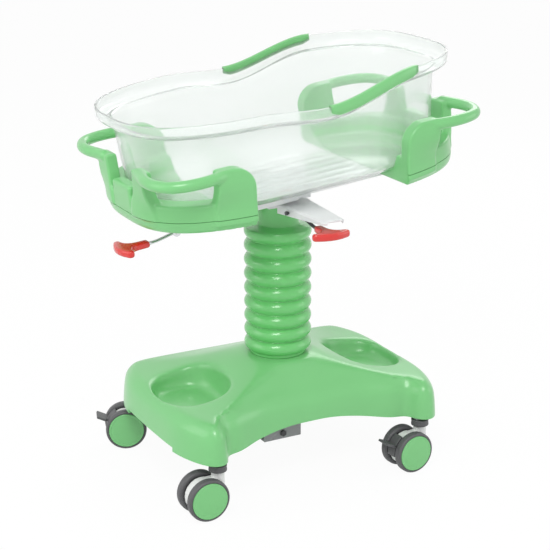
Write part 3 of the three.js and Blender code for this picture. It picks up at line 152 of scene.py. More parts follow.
# Twin-wheel casters: a dark tread bonded to a nylon wheel, a snapped-in green cap on each outer
# face, a white trailing fork on a pressed stem, and on two of them a stepped brake pedal.
def finish(name, colour, roughness, grain=900.0, bump=0.03, mottle=0.03, coat=0.0, metallic=0.0):
    """A moulded, painted or bare metal surface: fine grain, faint mottle, softly changing gloss."""
    material = bpy.data.materials.new(name)
    material.use_nodes = True
    tree = material.node_tree
    shader = tree.nodes["Principled BSDF"]
    shader.inputs["Metallic"].default_value = metallic
    shader.inputs["Coat Weight"].default_value = coat
    shader.inputs["Coat Roughness"].default_value = 0.12
    place = tree.nodes.new("ShaderNodeTexCoord")
    cloud = tree.nodes.new("ShaderNodeTexNoise")
    cloud.inputs["Scale"].default_value = 7.0
    cloud.inputs["Detail"].default_value = 4.0
    tint = tree.nodes.new("ShaderNodeMix")
    tint.data_type = "RGBA"
    tint.inputs["A"].default_value = (*[c * (1 - mottle) for c in colour], 1)
    tint.inputs["B"].default_value = (*[min(1, c * (1 + mottle)) for c in colour], 1)
    gloss = tree.nodes.new("ShaderNodeMapRange")
    gloss.inputs["To Min"].default_value = roughness * 0.88
    gloss.inputs["To Max"].default_value = roughness * 1.14
    pores = tree.nodes.new("ShaderNodeTexNoise")
    pores.inputs["Scale"].default_value = grain
    pores.inputs["Detail"].default_value = 2.0
    relief = tree.nodes.new("ShaderNodeBump")
    relief.inputs["Strength"].default_value = bump
    relief.inputs["Distance"].default_value = 0.0004
    link = tree.links.new
    link(place.outputs["Object"], cloud.inputs["Vector"])
    link(place.outputs["Object"], pores.inputs["Vector"])
    link(cloud.outputs["Fac"], tint.inputs["Factor"])
    link(cloud.outputs["Fac"], gloss.inputs["Value"])
    link(tint.outputs["Result"], shader.inputs["Base Color"])
    link(gloss.outputs["Result"], shader.inputs["Roughness"])
    link(pores.outputs["Fac"], relief.inputs["Height"])
    link(relief.outputs["Normal"], shader.inputs["Normal"])
    return material


green_plastic = finish("green_plastic", (0.185, 0.545, 0.20), 0.30, coat=0.25)
dark_plastic = finish("dark_plastic", (0.095, 0.095, 0.100), 0.50, grain=600.0, bump=0.08)
pale_plastic = finish("pale_plastic", (0.80, 0.81, 0.80), 0.38)
bright_steel = finish("bright_steel", (0.72, 0.73, 0.75), 0.22, grain=700.0, metallic=1.0)


merge_distance = 1e-6


def painted(node, material):
    """Gives a CAD node that keeps its shape the finish of the real piece."""
    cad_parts[node].data.materials.clear()
    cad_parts[node].data.materials.append(material)


def new_piece(name, vertices, faces, material):
    """A closed mesh from vertices and faces, merged where they meet and turned outwards."""
    mesh = bpy.data.meshes.new(name)
    mesh.from_pydata([tuple(v) for v in vertices], [], faces)
    shape = bmesh.new()
    shape.from_mesh(mesh)
    bmesh.ops.remove_doubles(shape, verts=shape.verts, dist=merge_distance)
    loose = [edge for edge in shape.edges if not edge.link_faces]
    bmesh.ops.delete(shape, geom=loose, context="EDGES")
    bmesh.ops.recalc_face_normals(shape, faces=shape.faces)
    shape.to_mesh(mesh)
    shape.free()
    mesh.materials.append(material)
    mesh.shade_smooth()
    thing = bpy.data.objects.new(name, mesh)
    scene.collection.objects.link(thing)
    return thing


def turned(profile, steps):
    """Vertices and faces of (radius, height) pairs turned round Z; the profile closes on itself."""
    vertices, faces = [], []
    count = len(profile)
    for step in range(steps):
        angle = 2 * math.pi * step / steps
        vertices += [(r * math.cos(angle), r * math.sin(angle), z) for r, z in profile]
    for step in range(steps):
        here, there = step * count, (step + 1) % steps * count
        for k in range(count):
            after = (k + 1) % count
            faces.append((here + k, there + k, there + after, here + after))
    return vertices, faces


def bake(thing):
    """Turns a piece and its modifiers into a plain mesh."""
    bpy.context.view_layer.update()
    evaluated = thing.evaluated_get(bpy.context.evaluated_depsgraph_get())
    mesh = bpy.data.meshes.new_from_object(evaluated)
    thing.modifiers.clear()
    thing.data = mesh
    mesh.shade_smooth()
    return thing


def moulded(thing, voxel, rounds):
    """Fuses overlapping shapes into one skin and rounds its edges, as a moulding has them."""
    fuse = thing.modifiers.new("fuse", "REMESH")
    fuse.mode = "VOXEL"
    fuse.voxel_size = voxel
    soften = thing.modifiers.new("soften", "SMOOTH")
    soften.factor = 0.5
    soften.iterations = rounds
    return bake(thing)


def node_copy(node, name, material):
    """A merged copy of a CAD node's mesh, to be finished further."""
    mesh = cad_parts[node].data.copy()
    mesh.name = name
    shape = bmesh.new()
    shape.from_mesh(mesh)
    bmesh.ops.remove_doubles(shape, verts=shape.verts, dist=merge_distance)
    shape.to_mesh(mesh)
    shape.free()
    mesh.materials.clear()
    mesh.materials.append(material)
    thing = bpy.data.objects.new(name, mesh)
    scene.collection.objects.link(thing)
    return thing


def arc(centre, radius, start, end, steps):
    """Points of a round corner in a profile, by angle in degrees."""
    turns = [math.radians(start + (end - start) * k / steps) for k in range(steps + 1)]
    return [(centre[0] + radius * math.cos(t), centre[1] + radius * math.sin(t)) for t in turns]


def settle(thing, body, slot_name, *nodes):
    """Puts a finished piece on its body in place of the CAD nodes it shows; its slot name is not
    used.
    """
    if nodes:
        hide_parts(*nodes)
    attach(thing, body)


stem_x, stem_y = 0.270, 0.217
trail = 0.037
axle_height = 0.050
wheel_offset = 0.0165
wheel_steps = 72
collar_steps = 48
fork_voxel, fork_rounds = 0.0016, 10
pedal_voxel, pedal_rounds = 0.0013, 6
tread_profile = [
    (0.0063, 0.0),
    (0.018, 0.0),
    (0.019, 0.002),
    (0.037, 0.002),
    (0.038, 0.0),
    *arc((0.044, 0.006), 0.006, -90, 0, 6),
    *arc((0.044, 0.015), 0.006, 0, 90, 6),
    (0.0438, 0.0206),
    (0.0434, 0.017),
    (0.0063, 0.017),
]
cap_profile = [
    (0.0, 0.0174),
    (0.0430, 0.0174),
    (0.0430, 0.0204),
    *arc((0.0412, 0.0204), 0.0018, 0, 90, 4),
    (0.0385, 0.0220),
    (0.0372, 0.0216),
    (0.0358, 0.0219),
    (0.0300, 0.0223),
    (0.0150, 0.0226),
    (0.0, 0.0227),
]
collar_profile = [
    (0.0, 0.0794),
    (0.008, 0.0794),
    (0.008, 0.1035),
    (0.0185, 0.1035),
    *arc((0.0195, 0.1052), 0.0015, -90, 0, 4),
    (0.0210, 0.1080),
    (0.0205, 0.1115),
    (0.0205, 0.1145),
    (0.0210, 0.1165),
    *arc((0.0195, 0.1178), 0.0015, 0, 90, 4),
    (0.008, 0.1193),
    (0.008, 0.1462),
    (0.0, 0.1462),
]
for corner, end, flank, swivel, braked in [
    ("foot_near", -1, -1, 0, False),
    ("head_near", 1, -1, 4, True),
    ("foot_far", -1, 1, -20, True),
    ("head_far", 1, 1, 8, False),
]:
    stem_place = Matrix.Translation((end * stem_x, flank * stem_y, 0))
    caster_place = stem_place @ Matrix.Rotation(math.radians(swivel), 4, "Z")
    for side, turn in (("near", 1), ("far", -1)):
        wheel_place = (
            caster_place
            @ Matrix.Translation((-trail, -turn * wheel_offset, axle_height))
            @ Matrix.Rotation(turn * math.pi / 2, 4, "X")
        )
        tread_shape = turned(tread_profile, wheel_steps)
        tread = new_piece(f"tread_{corner}_{side}", *tread_shape, dark_plastic)
        cap_shape = turned(cap_profile, wheel_steps)
        cap = new_piece(f"wheel_cap_{corner}_{side}", *cap_shape, green_plastic)
        tread.data.transform(wheel_place)
        cap.data.transform(wheel_place)
        settle(tread, f"wheel_{corner}_{side}", "dark_plastic", f"caster_{corner}_wheel_{side}")
        settle(cap, f"wheel_{corner}_{side}", "green_plastic", f"caster_{corner}_cap_{side}")
    fork = node_copy(f"caster_{corner}_fork", f"fork_{corner}", pale_plastic)
    moulded(fork, fork_voxel, fork_rounds)
    settle(fork, f"swivel_{corner}", "pale_plastic", f"caster_{corner}_fork")
    collar = new_piece(f"collar_{corner}", *turned(collar_profile, collar_steps), dark_plastic)
    collar.data.transform(caster_place)
    settle(collar, "base", "dark_plastic", f"caster_{corner}_stem")
    painted(f"caster_{corner}_axle", bright_steel)
    if braked:
        pedal = node_copy(f"caster_{corner}_pedal", f"pedal_{corner}", dark_plastic)
        moulded(pedal, pedal_voxel, pedal_rounds)
        settle(pedal, f"pedal_{corner}", "dark_plastic", f"caster_{corner}_pedal")

# Chassis: two square rails and a flat spine of welded and painted steel, with a folded bracket
# bolted under the column. The cover hides all of it but the bracket.
grey_paint = finish("grey_paint", (0.36, 0.36, 0.38), 0.45, grain=420.0, bump=0.06)
dark_steel = finish("dark_steel", (0.06, 0.06, 0.065), 0.42, grain=500.0)
rounded_from = math.radians(32)
sharp_from = math.radians(40)
small_ease, large_ease = 0.0009, 0.0010


def eased(node, name, material, width):
    """A copy of a CAD node with its sharp edges rounded over."""
    thing = node_copy(node, name, material)
    round_over = thing.modifiers.new("round_over", "BEVEL")
    round_over.width = width
    round_over.segments = 3
    round_over.limit_method = "ANGLE"
    round_over.angle_limit = rounded_from
    bake(thing)
    thing.data.set_sharp_from_angle(angle=sharp_from)
    return thing


for node in ("chassis_rail_foot", "chassis_rail_head", "chassis_spine"):
    painted(node, grey_paint)
painted("bracket_bolt", dark_steel)
bracket = eased("column_bracket", "hanging_bracket", grey_paint, large_ease)
settle(bracket, "base", "grey_steel", "column_bracket")


# Base cover: one thick green moulding with a lobe over each caster, a hollowed and arched waist on
# the near side, and two round storage pockets. Its roof climbs to the foot of the bellows.
def through(points, count):
    """Evenly spread points of a smooth curve through the given ones, tightened by their spacing."""
    pieces = 24
    ends = [2 * points[0] - points[1], *points, 2 * points[-1] - points[-2]]
    dense = []
    for k in range(1, len(ends) - 2):
        a, b, c, d = ends[k - 1 : k + 3]
        t1 = (b - a).length ** 0.5
        t2 = t1 + (c - b).length ** 0.5
        t3 = t2 + (d - c).length ** 0.5
        for step in range(pieces):
            t = t1 + (t2 - t1) * step / pieces
            ab = a.lerp(b, t / t1)
            bc = b.lerp(c, (t - t1) / (t2 - t1))
            cd = c.lerp(d, (t - t2) / (t3 - t2))
            abc = ab.lerp(bc, t / t2)
            bcd = bc.lerp(cd, (t - t1) / (t3 - t1))
            dense.append(abc.lerp(bcd, (t - t1) / (t2 - t1)))
    dense.append(points[-1])
    return evenly(dense, count)


def evenly(dense, count):
    """Points at equal steps along a fine polyline, without its last one."""
    along = [0.0]
    for before, after in zip(dense, dense[1:]):
        along.append(along[-1] + (after - before).length)
    spread, k = [], 0
    for step in range(count):
        goal = along[-1] * step / count
        while along[k + 1] < goal:
            k += 1
        spread.append(dense[k].lerp(dense[k + 1], (goal - along[k]) / (along[k + 1] - along[k])))
    return spread


def lofted(rings, hoop=False):
    """Vertices and faces of a skin through rings; it closes on itself or gets end caps."""
    count = len(rings[0])
    vertices = [point for ring in rings for point in ring]
    faces = []
    for r in range(len(rings) - (0 if hoop else 1)):
        here, above = r * count, (r + 1) % len(rings) * count
        for k in range(count):
            after = (k + 1) % count
            faces.append((here + k, here + after, above + after, above + k))
    if not hoop:
        faces.append(tuple(range(count))[::-1])
        faces.append(tuple(range((len(rings) - 1) * count, len(rings) * count)))
    return vertices, faces


def smooth_share(value, low, high):
    """How far a value has gone from low to high, eased at both ends."""
    t = min(1.0, max(0.0, (value - low) / (high - low)))
    return t * t * (3 - 2 * t)


half_base = 0.343
lobe_x, lobe_y = stem_x, stem_y
lobe_tip = lobe_y + 0.034
waist, waist_arch = 0.165, 0.020
seat_radius = 0.084
cover_top = 0.273
shoulder = 0.205
skirt_bottom = 0.127
cover_wall = 0.006
cover_points = 96
cover_voxel, cover_rounds = 0.0036, 60
roof_steps = 14
toe_cut_width, toe_cut_height = 0.250, 0.010
toe_cut_inside, toe_cut_outside = 0.060, 0.020
pocket_x = 0.234
pocket_half_length, pocket_half_width = 0.084, 0.101
pocket_points = 96
pocket_roundness = 0.8
ground_x, ground_y, ground_low = 0.40, 0.30, 0.05
column_hole = 0.0425


def cover_side(quarter):
    """One long side of the outline, from the head end to the foot end."""
    whole = [*quarter, *((-x, y) for x, y in quarter[-2::-1])]
    return through([Vector((x, y, 0)) for x, y in whole], cover_points)


cover_end = [
    (half_base, 0),
    (half_base - 0.005, 0.63 * lobe_y),
    (half_base - 0.022, lobe_y - 0.018),
    (lobe_x + 0.030, lobe_tip - 0.014),
]
far_side = cover_side([*cover_end, (lobe_x + 0.004, lobe_tip), (0, lobe_tip)])
near_side = cover_side(
    [
        *cover_end,
        (lobe_x + 0.008, lobe_tip),
        (lobe_x - 0.014, lobe_tip - 0.010),
        (lobe_x - 0.035, lobe_y - 0.012),
        (0.76 * lobe_x, waist + 0.035),
        (0.5 * lobe_x, waist + 0.009),
        (0, waist),
    ]
)
cover_outline = far_side + [Vector((-p.x, -p.y, 0)) for p in near_side]


def cover_skin(wall, bottom):
    """Rings of the cover's skin from its bottom to the bellows' seat, shrunk by a wall."""
    count = len(cover_outline)
    seat, inward, room = [], [], []
    for k, point in enumerate(cover_outline):
        angle = 2 * math.pi * k / count
        seat.append(Vector((seat_radius * math.cos(angle), seat_radius * math.sin(angle), 0)))
        along = cover_outline[(k + 1) % count] - cover_outline[k - 1]
        inward.append(Vector((-along.y, along.x, 0)).normalized())
        room.append((point - seat[k]).length)

    def ring(inset, share, height):
        return [
            Vector((*(p + n * (min(inset, share * space) + wall)).xy, height))
            for p, n, space in zip(cover_outline, inward, room)
        ]

    top = cover_top - wall
    brow = ring(0.028, 0.40, shoulder - wall + 0.012)
    rings = [
        ring(0, 0, bottom),
        ring(0.0004, 0, skirt_bottom + 0.004),
        ring(0.0030, 0.03, skirt_bottom + 0.043),
        ring(0.0048, 0.06, shoulder - wall - 0.022),
        ring(0.0070, 0.10, shoulder - wall - 0.012),
        ring(0.0105, 0.16, shoulder - wall - 0.005),
        ring(0.0150, 0.22, shoulder - wall),
        ring(0.0210, 0.30, shoulder - wall + 0.006),
        brow,
    ]
    for step in range(1, roof_steps + 1):
        share = step / roof_steps
        level = []
        for k, point in enumerate(brow):
            fullness = 1.15 + 0.85 * math.cos(2 * math.pi * k / count) ** 2
            spot = point.lerp(seat[k], share)
            spot.z = point.z + (top - point.z) * share**fullness
            level.append(spot)
        rings.append(level)
    return rings


def pocket_skin(end, wall):
    """Rings of a storage pocket's room: a bowl with a rounded foot."""
    rings = []
    for grow, height in [
        (-0.030, 0.180 - wall),
        (-0.020, 0.1806 - wall),
        (-0.013, 0.1835 - wall),
        (-0.009, 0.188 - wall),
        (-0.006, 0.196),
        (0.000, 0.221),
        (0.004, 0.293),
    ]:
        ring = []
        for k in range(pocket_points):
            angle = 2 * math.pi * k / pocket_points
            c, s = math.cos(angle), math.sin(angle)
            x = (pocket_half_length + grow + wall) * math.copysign(abs(c) ** pocket_roundness, c)
            y = (pocket_half_width + grow + wall) * math.copysign(abs(s) ** pocket_roundness, s)
            ring.append(Vector((end * pocket_x + x, y, height)))
        rings.append(ring)
    return rings


def ground():
    """Vertices and faces of the space under the cover, which rises into the arch of the waist."""
    columns, rows = 80, 40
    rings = []
    for k in range(columns + 1):
        x = -ground_x + 2 * ground_x * k / columns
        arched = waist_arch * (1 - smooth_share(abs(x), 0.1 * lobe_x, 0.85 * lobe_x))
        ring = [Vector((x, -ground_y, ground_low)), Vector((x, ground_y, ground_low))]
        for step in range(rows + 1):
            y = ground_y - 2 * ground_y * step / rows
            ring.append(Vector((x, y, skirt_bottom + arched * smooth_share(-y, 0.03, 0.13))))
        rings.append(ring)
    return lofted(rings)


def boxed(low, high, ease):
    """Vertices and faces of a block with eased edges."""
    shape = bmesh.new()
    bmesh.ops.create_cube(shape, size=1)
    for vertex in shape.verts:
        vertex.co = Vector([low[k] + (vertex.co[k] + 0.5) * (high[k] - low[k]) for k in range(3)])
    bmesh.ops.bevel(
        shape,
        geom=shape.edges[:],
        offset=ease,
        segments=5,
        profile=0.5,
        affect="EDGES",
        clamp_overlap=True,
    )
    shape.verts.index_update()
    vertices = [v.co.copy() for v in shape.verts]
    faces = [[v.index for v in f.verts] for f in shape.faces]
    shape.free()
    return vertices, faces


def cut(thing, vertices, faces, operation="DIFFERENCE"):
    """Cuts a piece with a shape, or keeps what both share; the shape is then thrown away."""
    cutter = new_piece("cutter", vertices, faces, thing.data.materials[0])
    knife = thing.modifiers.new("cut", "BOOLEAN")
    knife.operation = operation
    knife.object = cutter
    knife.solver = "MANIFOLD"
    bake(thing)
    bpy.data.objects.remove(cutter)
    return thing


def shape_of(thing):
    """Vertices and faces of a piece that was only a help, which is then thrown away."""
    vertices = [v.co.copy() for v in thing.data.vertices]
    faces = [tuple(f.vertices) for f in thing.data.polygons]
    bpy.data.objects.remove(thing)
    return vertices, faces


cover = new_piece("base_moulding", *lofted(cover_skin(0, skirt_bottom - 0.030)), green_plastic)
hollow_skin = cover_skin(cover_wall, skirt_bottom - 0.060)
hollow = new_piece("cover_hollow", *lofted(hollow_skin), green_plastic)
for end in (-1, 1):
    cut(cover, *lofted(pocket_skin(end, 0)))
    cut(hollow, *lofted(pocket_skin(end, cover_wall)))
moulded(cover, cover_voxel, cover_rounds)
cut(cover, *ground())
for end in (-1, 1):
    toe = sorted((end * (half_base - toe_cut_inside), end * (half_base + toe_cut_outside)))
    low = (toe[0], -toe_cut_width / 2, skirt_bottom - 0.030)
    high = (toe[1], toe_cut_width / 2, skirt_bottom + toe_cut_height)
    cut(cover, *boxed(low, high, 0.002))
cut(cover, *shape_of(hollow))
hole_profile = [(0.0, 0.15), (column_hole, 0.15), (column_hole, 0.30), (0.0, 0.30)]
cut(cover, *turned(hole_profile, 64))
cover.data.set_sharp_from_angle(angle=sharp_from)
settle(cover, "base", "green_plastic", "base_cover")

# Column: a flanged steel tube with a plastic guide bush, a bright inner tube that slides in it and
# a gas spring inside. The bellows hides them.
painted("outer_tube", grey_paint)
painted("guide_bush", dark_plastic)
painted("inner_tube", bright_steel)
painted("lift_spring_cylinder", dark_steel)
painted("lift_spring_rod", bright_steel)

# Bellows: a soft blow-moulded sleeve whose round ribs meet in sharp grooves, with a cuff pressed on
# the cover, a flat shoulder and a neck that grips the column head.
bellows_green = finish("bellows_green", (0.14, 0.54, 0.155), 0.26, bump=0.03, coat=0.4)
bellows_wall = 0.0025
rib_crowding = 0.97
rib_roundness = 0.7
shoulder_below, shoulder_above = 0.009, 0.001


def geometry_tree(name, inputs):
    """A geometry tree with named inputs, its input node and its output node."""
    tree = bpy.data.node_groups.new(name, "GeometryNodeTree")
    for label, kind in inputs:
        tree.interface.new_socket(label, in_out="INPUT", socket_type=f"NodeSocket{kind}")
    tree.interface.new_socket("Geometry", in_out="OUTPUT", socket_type="NodeSocketGeometry")
    return tree, tree.nodes.new("NodeGroupInput").outputs, tree.nodes.new("NodeGroupOutput").inputs


def step_of(tree, kind, *values, **settings):
    """A node's outputs; sockets or plain values feed its inputs in order, None leaves one alone."""
    node = tree.nodes.new(kind)
    for key, value in settings.items():
        setattr(node, key, value)
    for socket, value in zip(node.inputs, values):
        if isinstance(value, bpy.types.NodeSocket):
            tree.links.new(value, socket)
        elif value is not None:
            socket.default_value = value
    return node.outputs


def grown(name, tree, sizes):
    """The plain mesh that a geometry tree makes with the given sizes."""
    thing = bpy.data.objects.new(name, bpy.data.meshes.new(name))
    scene.collection.objects.link(thing)
    modifier = thing.modifiers.new("grow", "NODES")
    modifier.node_group = tree
    for socket in tree.interface.items_tree:
        if socket.in_out == "INPUT":
            modifier[socket.identifier] = sizes[socket.name]
    return bake(thing)


bellows_tree, size_of, result = geometry_tree(
    "bellows_ribs",
    [
        ("Foot", "Float"),
        ("Ribs Foot", "Float"),
        ("Ribs Head", "Float"),
        ("Head", "Float"),
        ("Ribs", "Float"),
        ("Groove Radius", "Float"),
        ("Rib Depth", "Float"),
        ("Neck Radius", "Float"),
        ("Around", "Int"),
        ("Rows", "Int"),
        ("Material", "Material"),
    ],
)


def sum_of(operation, *values):
    """The result of one piece of arithmetic in the bellows tree."""
    return step_of(bellows_tree, "ShaderNodeMath", *values, operation=operation)[0]


grid_sizes = (1.0, 1.0, size_of["Around"], size_of["Rows"])
sheet = step_of(bellows_tree, "GeometryNodeMeshGrid", *grid_sizes)[0]
position = step_of(bellows_tree, "GeometryNodeInputPosition")[0]
spot = step_of(bellows_tree, "ShaderNodeSeparateXYZ", position)
turn = sum_of("MULTIPLY", sum_of("ADD", spot[0], 0.5), 2 * math.pi)
height = sum_of(
    "MULTIPLY_ADD",
    sum_of("ADD", spot[1], 0.5),
    sum_of("SUBTRACT", size_of["Head"], size_of["Foot"]),
    size_of["Foot"],
)
ribbed_span = (size_of["Ribs Foot"], size_of["Ribs Head"])
climb = step_of(bellows_tree, "ShaderNodeMapRange", height, *ribbed_span)[0]
rib_count = sum_of("MULTIPLY", sum_of("POWER", climb, rib_crowding), size_of["Ribs"])
rib_place = sum_of("FRACT", rib_count)
bulge = sum_of("POWER", sum_of("SINE", sum_of("MULTIPLY", rib_place, math.pi)), rib_roundness)
ribbed = sum_of("MULTIPLY_ADD", bulge, size_of["Rib Depth"], size_of["Groove Radius"])
shoulder_share = step_of(
    bellows_tree,
    "ShaderNodeMapRange",
    height,
    sum_of("SUBTRACT", size_of["Ribs Head"], shoulder_below),
    sum_of("ADD", size_of["Ribs Head"], shoulder_above),
    interpolation_type="SMOOTHSTEP",
)[0]
radius = sum_of(
    "MULTIPLY_ADD", shoulder_share, sum_of("SUBTRACT", size_of["Neck Radius"], ribbed), ribbed
)
rolled = step_of(
    bellows_tree,
    "ShaderNodeCombineXYZ",
    sum_of("MULTIPLY", radius, sum_of("COSINE", turn)),
    sum_of("MULTIPLY", radius, sum_of("SINE", turn)),
    height,
)[0]
sleeve = step_of(bellows_tree, "GeometryNodeSetPosition", sheet, None, rolled)[0]
sleeve = step_of(bellows_tree, "GeometryNodeMergeByDistance", sleeve)[0]
sleeve = step_of(bellows_tree, "GeometryNodeRealizeInstances", sleeve)[0]
sleeve = step_of(bellows_tree, "GeometryNodeSetMaterial", sleeve, None, size_of["Material"])[0]
bellows_tree.links.new(sleeve, result[0])
bellows = grown(
    "bellows_sleeve",
    bellows_tree,
    {
        "Foot": 0.2735,
        "Ribs Foot": 0.2805,
        "Ribs Head": 0.590,
        "Head": 0.6415,
        "Ribs": 9.0,
        "Groove Radius": 0.068,
        "Rib Depth": 0.012,
        "Neck Radius": 0.050,
        "Around": 97,
        "Rows": 330,
        "Material": bellows_green,
    },
)
thicken = bellows.modifiers.new("wall", "SOLIDIFY")
thicken.thickness = bellows_wall
thicken.offset = -1
bake(bellows)
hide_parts("bellows")
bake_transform(bellows)

# Column head, squeeze plate and deck: folded and welded steel, powder-coated white, with eased
# edges. The deck tilts on a bright pin and has a pale housing for the release under its foot end.
white_paint = finish("white_paint", (0.73, 0.73, 0.745), 0.36, grain=420.0, bump=0.05, mottle=0.015)
for node, name, body, ease in [
    ("column_head", "head_weldment", "lift", small_ease),
    ("squeeze_plate", "folded_plate", "lift", small_ease),
    ("tilt_frame", "deck_weldment", "tilt", large_ease),
]:
    settle(eased(node, name, white_paint, ease), body, "white_steel", node)
housing = eased("release_bracket", "release_housing", pale_plastic, small_ease)
settle(housing, "tilt", "pale_plastic", "release_bracket")
painted("tilt_pin", bright_steel)
painted("tilt_spring_barrel", dark_steel)
painted("tilt_spring_rod", bright_steel)

# Levers: a bent steel rod on a hub, and a red moulded fishtail grip pressed on its end. One is
# squeezed against the plate to change the height, the other under the foot end releases the tilt.
red_plastic = finish("red_plastic", (0.66, 0.022, 0.016), 0.22, coat=0.5)
grip_voxel, grip_rounds = 0.0013, 16
painted("lever_pin", dark_steel)
painted("height_lever_rod", dark_steel)
painted("foot_lever_rod", bright_steel)
for use in ("height", "foot"):
    grip = node_copy(f"{use}_lever_grip", f"{use}_grip", red_plastic)
    moulded(grip, grip_voxel, grip_rounds)
    settle(grip, f"{use}_lever", "red_plastic", f"{use}_lever_grip")

# Tub: one clear moulding of polished plastic, drawn in towards its flat floor, with a rolled lip
# that dips at the sides and steps up towards the head end. The floor has low ribs, and small pips
# at its head end.
clear_plastic = bpy.data.materials.new("clear_plastic")
clear_plastic.use_nodes = True
tree = clear_plastic.node_tree
clear_shader = tree.nodes["Principled BSDF"]
clear_shader.inputs["Base Color"].default_value = (0.955, 0.98, 0.967, 1)
clear_shader.inputs["Transmission Weight"].default_value = 0.84
clear_shader.inputs["Roughness"].default_value = 0.09
clear_shader.inputs["IOR"].default_value = 1.34
light_through = tree.nodes.new("ShaderNodeBsdfTransparent")
light_through.inputs["Color"].default_value = (0.52, 0.57, 0.54, 1)
ray_kind = tree.nodes.new("ShaderNodeLightPath")
pass_light = tree.nodes.new("ShaderNodeMixShader")
tree.links.new(ray_kind.outputs["Is Shadow Ray"], pass_light.inputs[0])
tree.links.new(clear_shader.outputs[0], pass_light.inputs[1])
tree.links.new(light_through.outputs[0], pass_light.inputs[2])
tree.links.new(pass_light.outputs[0], tree.nodes["Material Output"].inputs["Surface"])

tilt_height = 0.668
rest_tilt = math.radians(-6)
cradle_offset = (0.0145, 0, 0.014)
tub_place = (
    Matrix.Translation((0, 0, tilt_height))
    @ Matrix.Rotation(rest_tilt, 4, "Y")
    @ Matrix.Translation(cradle_offset)
)
rim_length, rim_width = 0.404, 0.259
lip, lip_depth = 0.032, 0.045
wall_x, wall_y = rim_length - lip, rim_width - lip
tub_wall = 0.0048
floor_inset_x, floor_inset_y = 0.072, 0.097
floor_height = 0.009
oblong_order = 3
side_rim, foot_rise, head_rise = 0.229, 0.014, 0.041
dip_start, step_start, step_end = -0.162, 0.006, 0.230
lip_round = 0.0022
rib_pitch, rib_height = 0.080, 0.0013
rib_fade_x, rib_fade_y = (0.13, 0.20), (0.08, 0.1)
floor_steps = 25
skin_steps = 6
bowl_curve = [
    (floor_inset_x, floor_inset_y, floor_height, 1.0),
    (0.0554, 0.0747, 0.0140, 1.0),
    (0.0324, 0.0437, 0.0299, 0.5),
    (0.0144, 0.0194, 0.0601, 0.0),
]


def oblong_outline(count):
    """Shares of half length and half width round a rounded oblong, evenly spread."""
    fine = 600
    corner = []
    for k in range(fine + 1):
        angle = math.pi / 2 * k / fine
        x, y = math.cos(angle) ** (2 / oblong_order), math.sin(angle) ** (2 / oblong_order)
        corner.append(Vector((rim_length * x, rim_width * y)))
    corner[-1].x = 0
    quarter = [(p.x / rim_length, p.y / rim_width) for p in evenly(corner, count // 4)]
    half = quarter + [(0.0, 1.0)] + [(-x, y) for x, y in quarter[:0:-1]]
    return half + [(-x, -y) for x, y in half]


tub_outline = oblong_outline(240)
rim_heights = []
for x, _ in tub_outline:
    foot_share = 1 - smooth_share(x * rim_length, dip_start, step_start)
    head_share = smooth_share(x * rim_length, step_start, step_end)
    rim_heights.append(side_rim + foot_rise * foot_share + head_rise * head_share)


def tub_ring(grow_x, grow_y, height):
    """A level ring of the tub's wall."""
    return [Vector((x * (wall_x + grow_x), y * (wall_y + grow_y), height)) for x, y in tub_outline]


def lip_ring(grow, below):
    """A ring of the lip, which follows the rim's rise and dip."""
    return [
        Vector((x * (wall_x + grow), y * (wall_y + grow), rim - below))
        for (x, y), rim in zip(tub_outline, rim_heights)
    ]


def rounded_rings(rings, steps):
    """More rings between the given ones, along smooth curves."""
    ends = [rings[0], *rings, rings[-1]]
    finer = []
    for k in range(1, len(ends) - 2):
        for step in range(steps):
            t = step / steps
            ring = []
            for a, b, c, d in zip(*ends[k - 1 : k + 3]):
                bend = (2 * a - 5 * b + 4 * c - d) + t * (3 * b - a - 3 * c + d)
                ring.append(b + t * ((c - a) + t * bend) / 2)
            finer.append(ring)
    finer.append(rings[-1])
    return finer


def bowl_rings(grow, drop):
    """Rings of the bowl from its floor up, grown sideways and lowered near the floor."""
    return [
        tub_ring(grow - inset_x, grow - inset_y, height - share * drop)
        for inset_x, inset_y, height, share in bowl_curve
    ]


def floor_rings(grow, height):
    """Rings that shrink to the middle of the floor, raised by ribs along the tub."""
    rings = []
    for step in range(1, floor_steps):
        share = 1 - step / floor_steps
        ring = []
        for x, y in tub_outline:
            reach_x = wall_x - floor_inset_x + grow
            reach_y = wall_y - floor_inset_y + grow
            spot = Vector((x * reach_x * share, y * reach_y * share, height))
            rib = math.cos(2 * math.pi * spot.y / rib_pitch) ** 2
            inside_x = 1 - smooth_share(abs(spot.x), *rib_fade_x)
            inside_y = 1 - smooth_share(abs(spot.y), *rib_fade_y)
            spot.z += rib_height * (rib * (inside_x * inside_y))
            ring.append(spot)
        rings.append(ring)
    return rings


outer_lip = [
    lip_ring(0, lip_depth),
    lip_ring(0.35 * lip, 0.78 * lip_depth),
    lip_ring(0.85 * lip, 0.62 * lip_depth),
    lip_ring(lip, 0.40 * lip_depth),
    lip_ring(lip, lip_round),
]
lip_edge = [
    lip_ring(lip - 0.0007, 0.0007),
    lip_ring(lip - 0.0024, 0),
    lip_ring(lip - 0.0041, 0.0007),
]
inner_lip = [
    lip_ring(-tub_wall, lip_depth - 0.45 * tub_wall),
    lip_ring(0.35 * lip - 0.55 * tub_wall, 0.78 * lip_depth - 0.85 * tub_wall),
    lip_ring(0.85 * lip - 0.74 * tub_wall, 0.62 * lip_depth - 0.77 * tub_wall),
    lip_ring(lip - tub_wall, 0.40 * lip_depth - 0.23 * tub_wall),
    lip_ring(lip - tub_wall, lip_round),
]
tub_rings = floor_rings(0, floor_height)[::-1]
tub_rings += rounded_rings([*bowl_rings(0, 0), *outer_lip], skin_steps)
tub_rings += lip_edge
tub_rings += rounded_rings([*bowl_rings(-tub_wall, -tub_wall), *inner_lip], skin_steps)[::-1]
tub_rings += floor_rings(-tub_wall, floor_height + tub_wall)
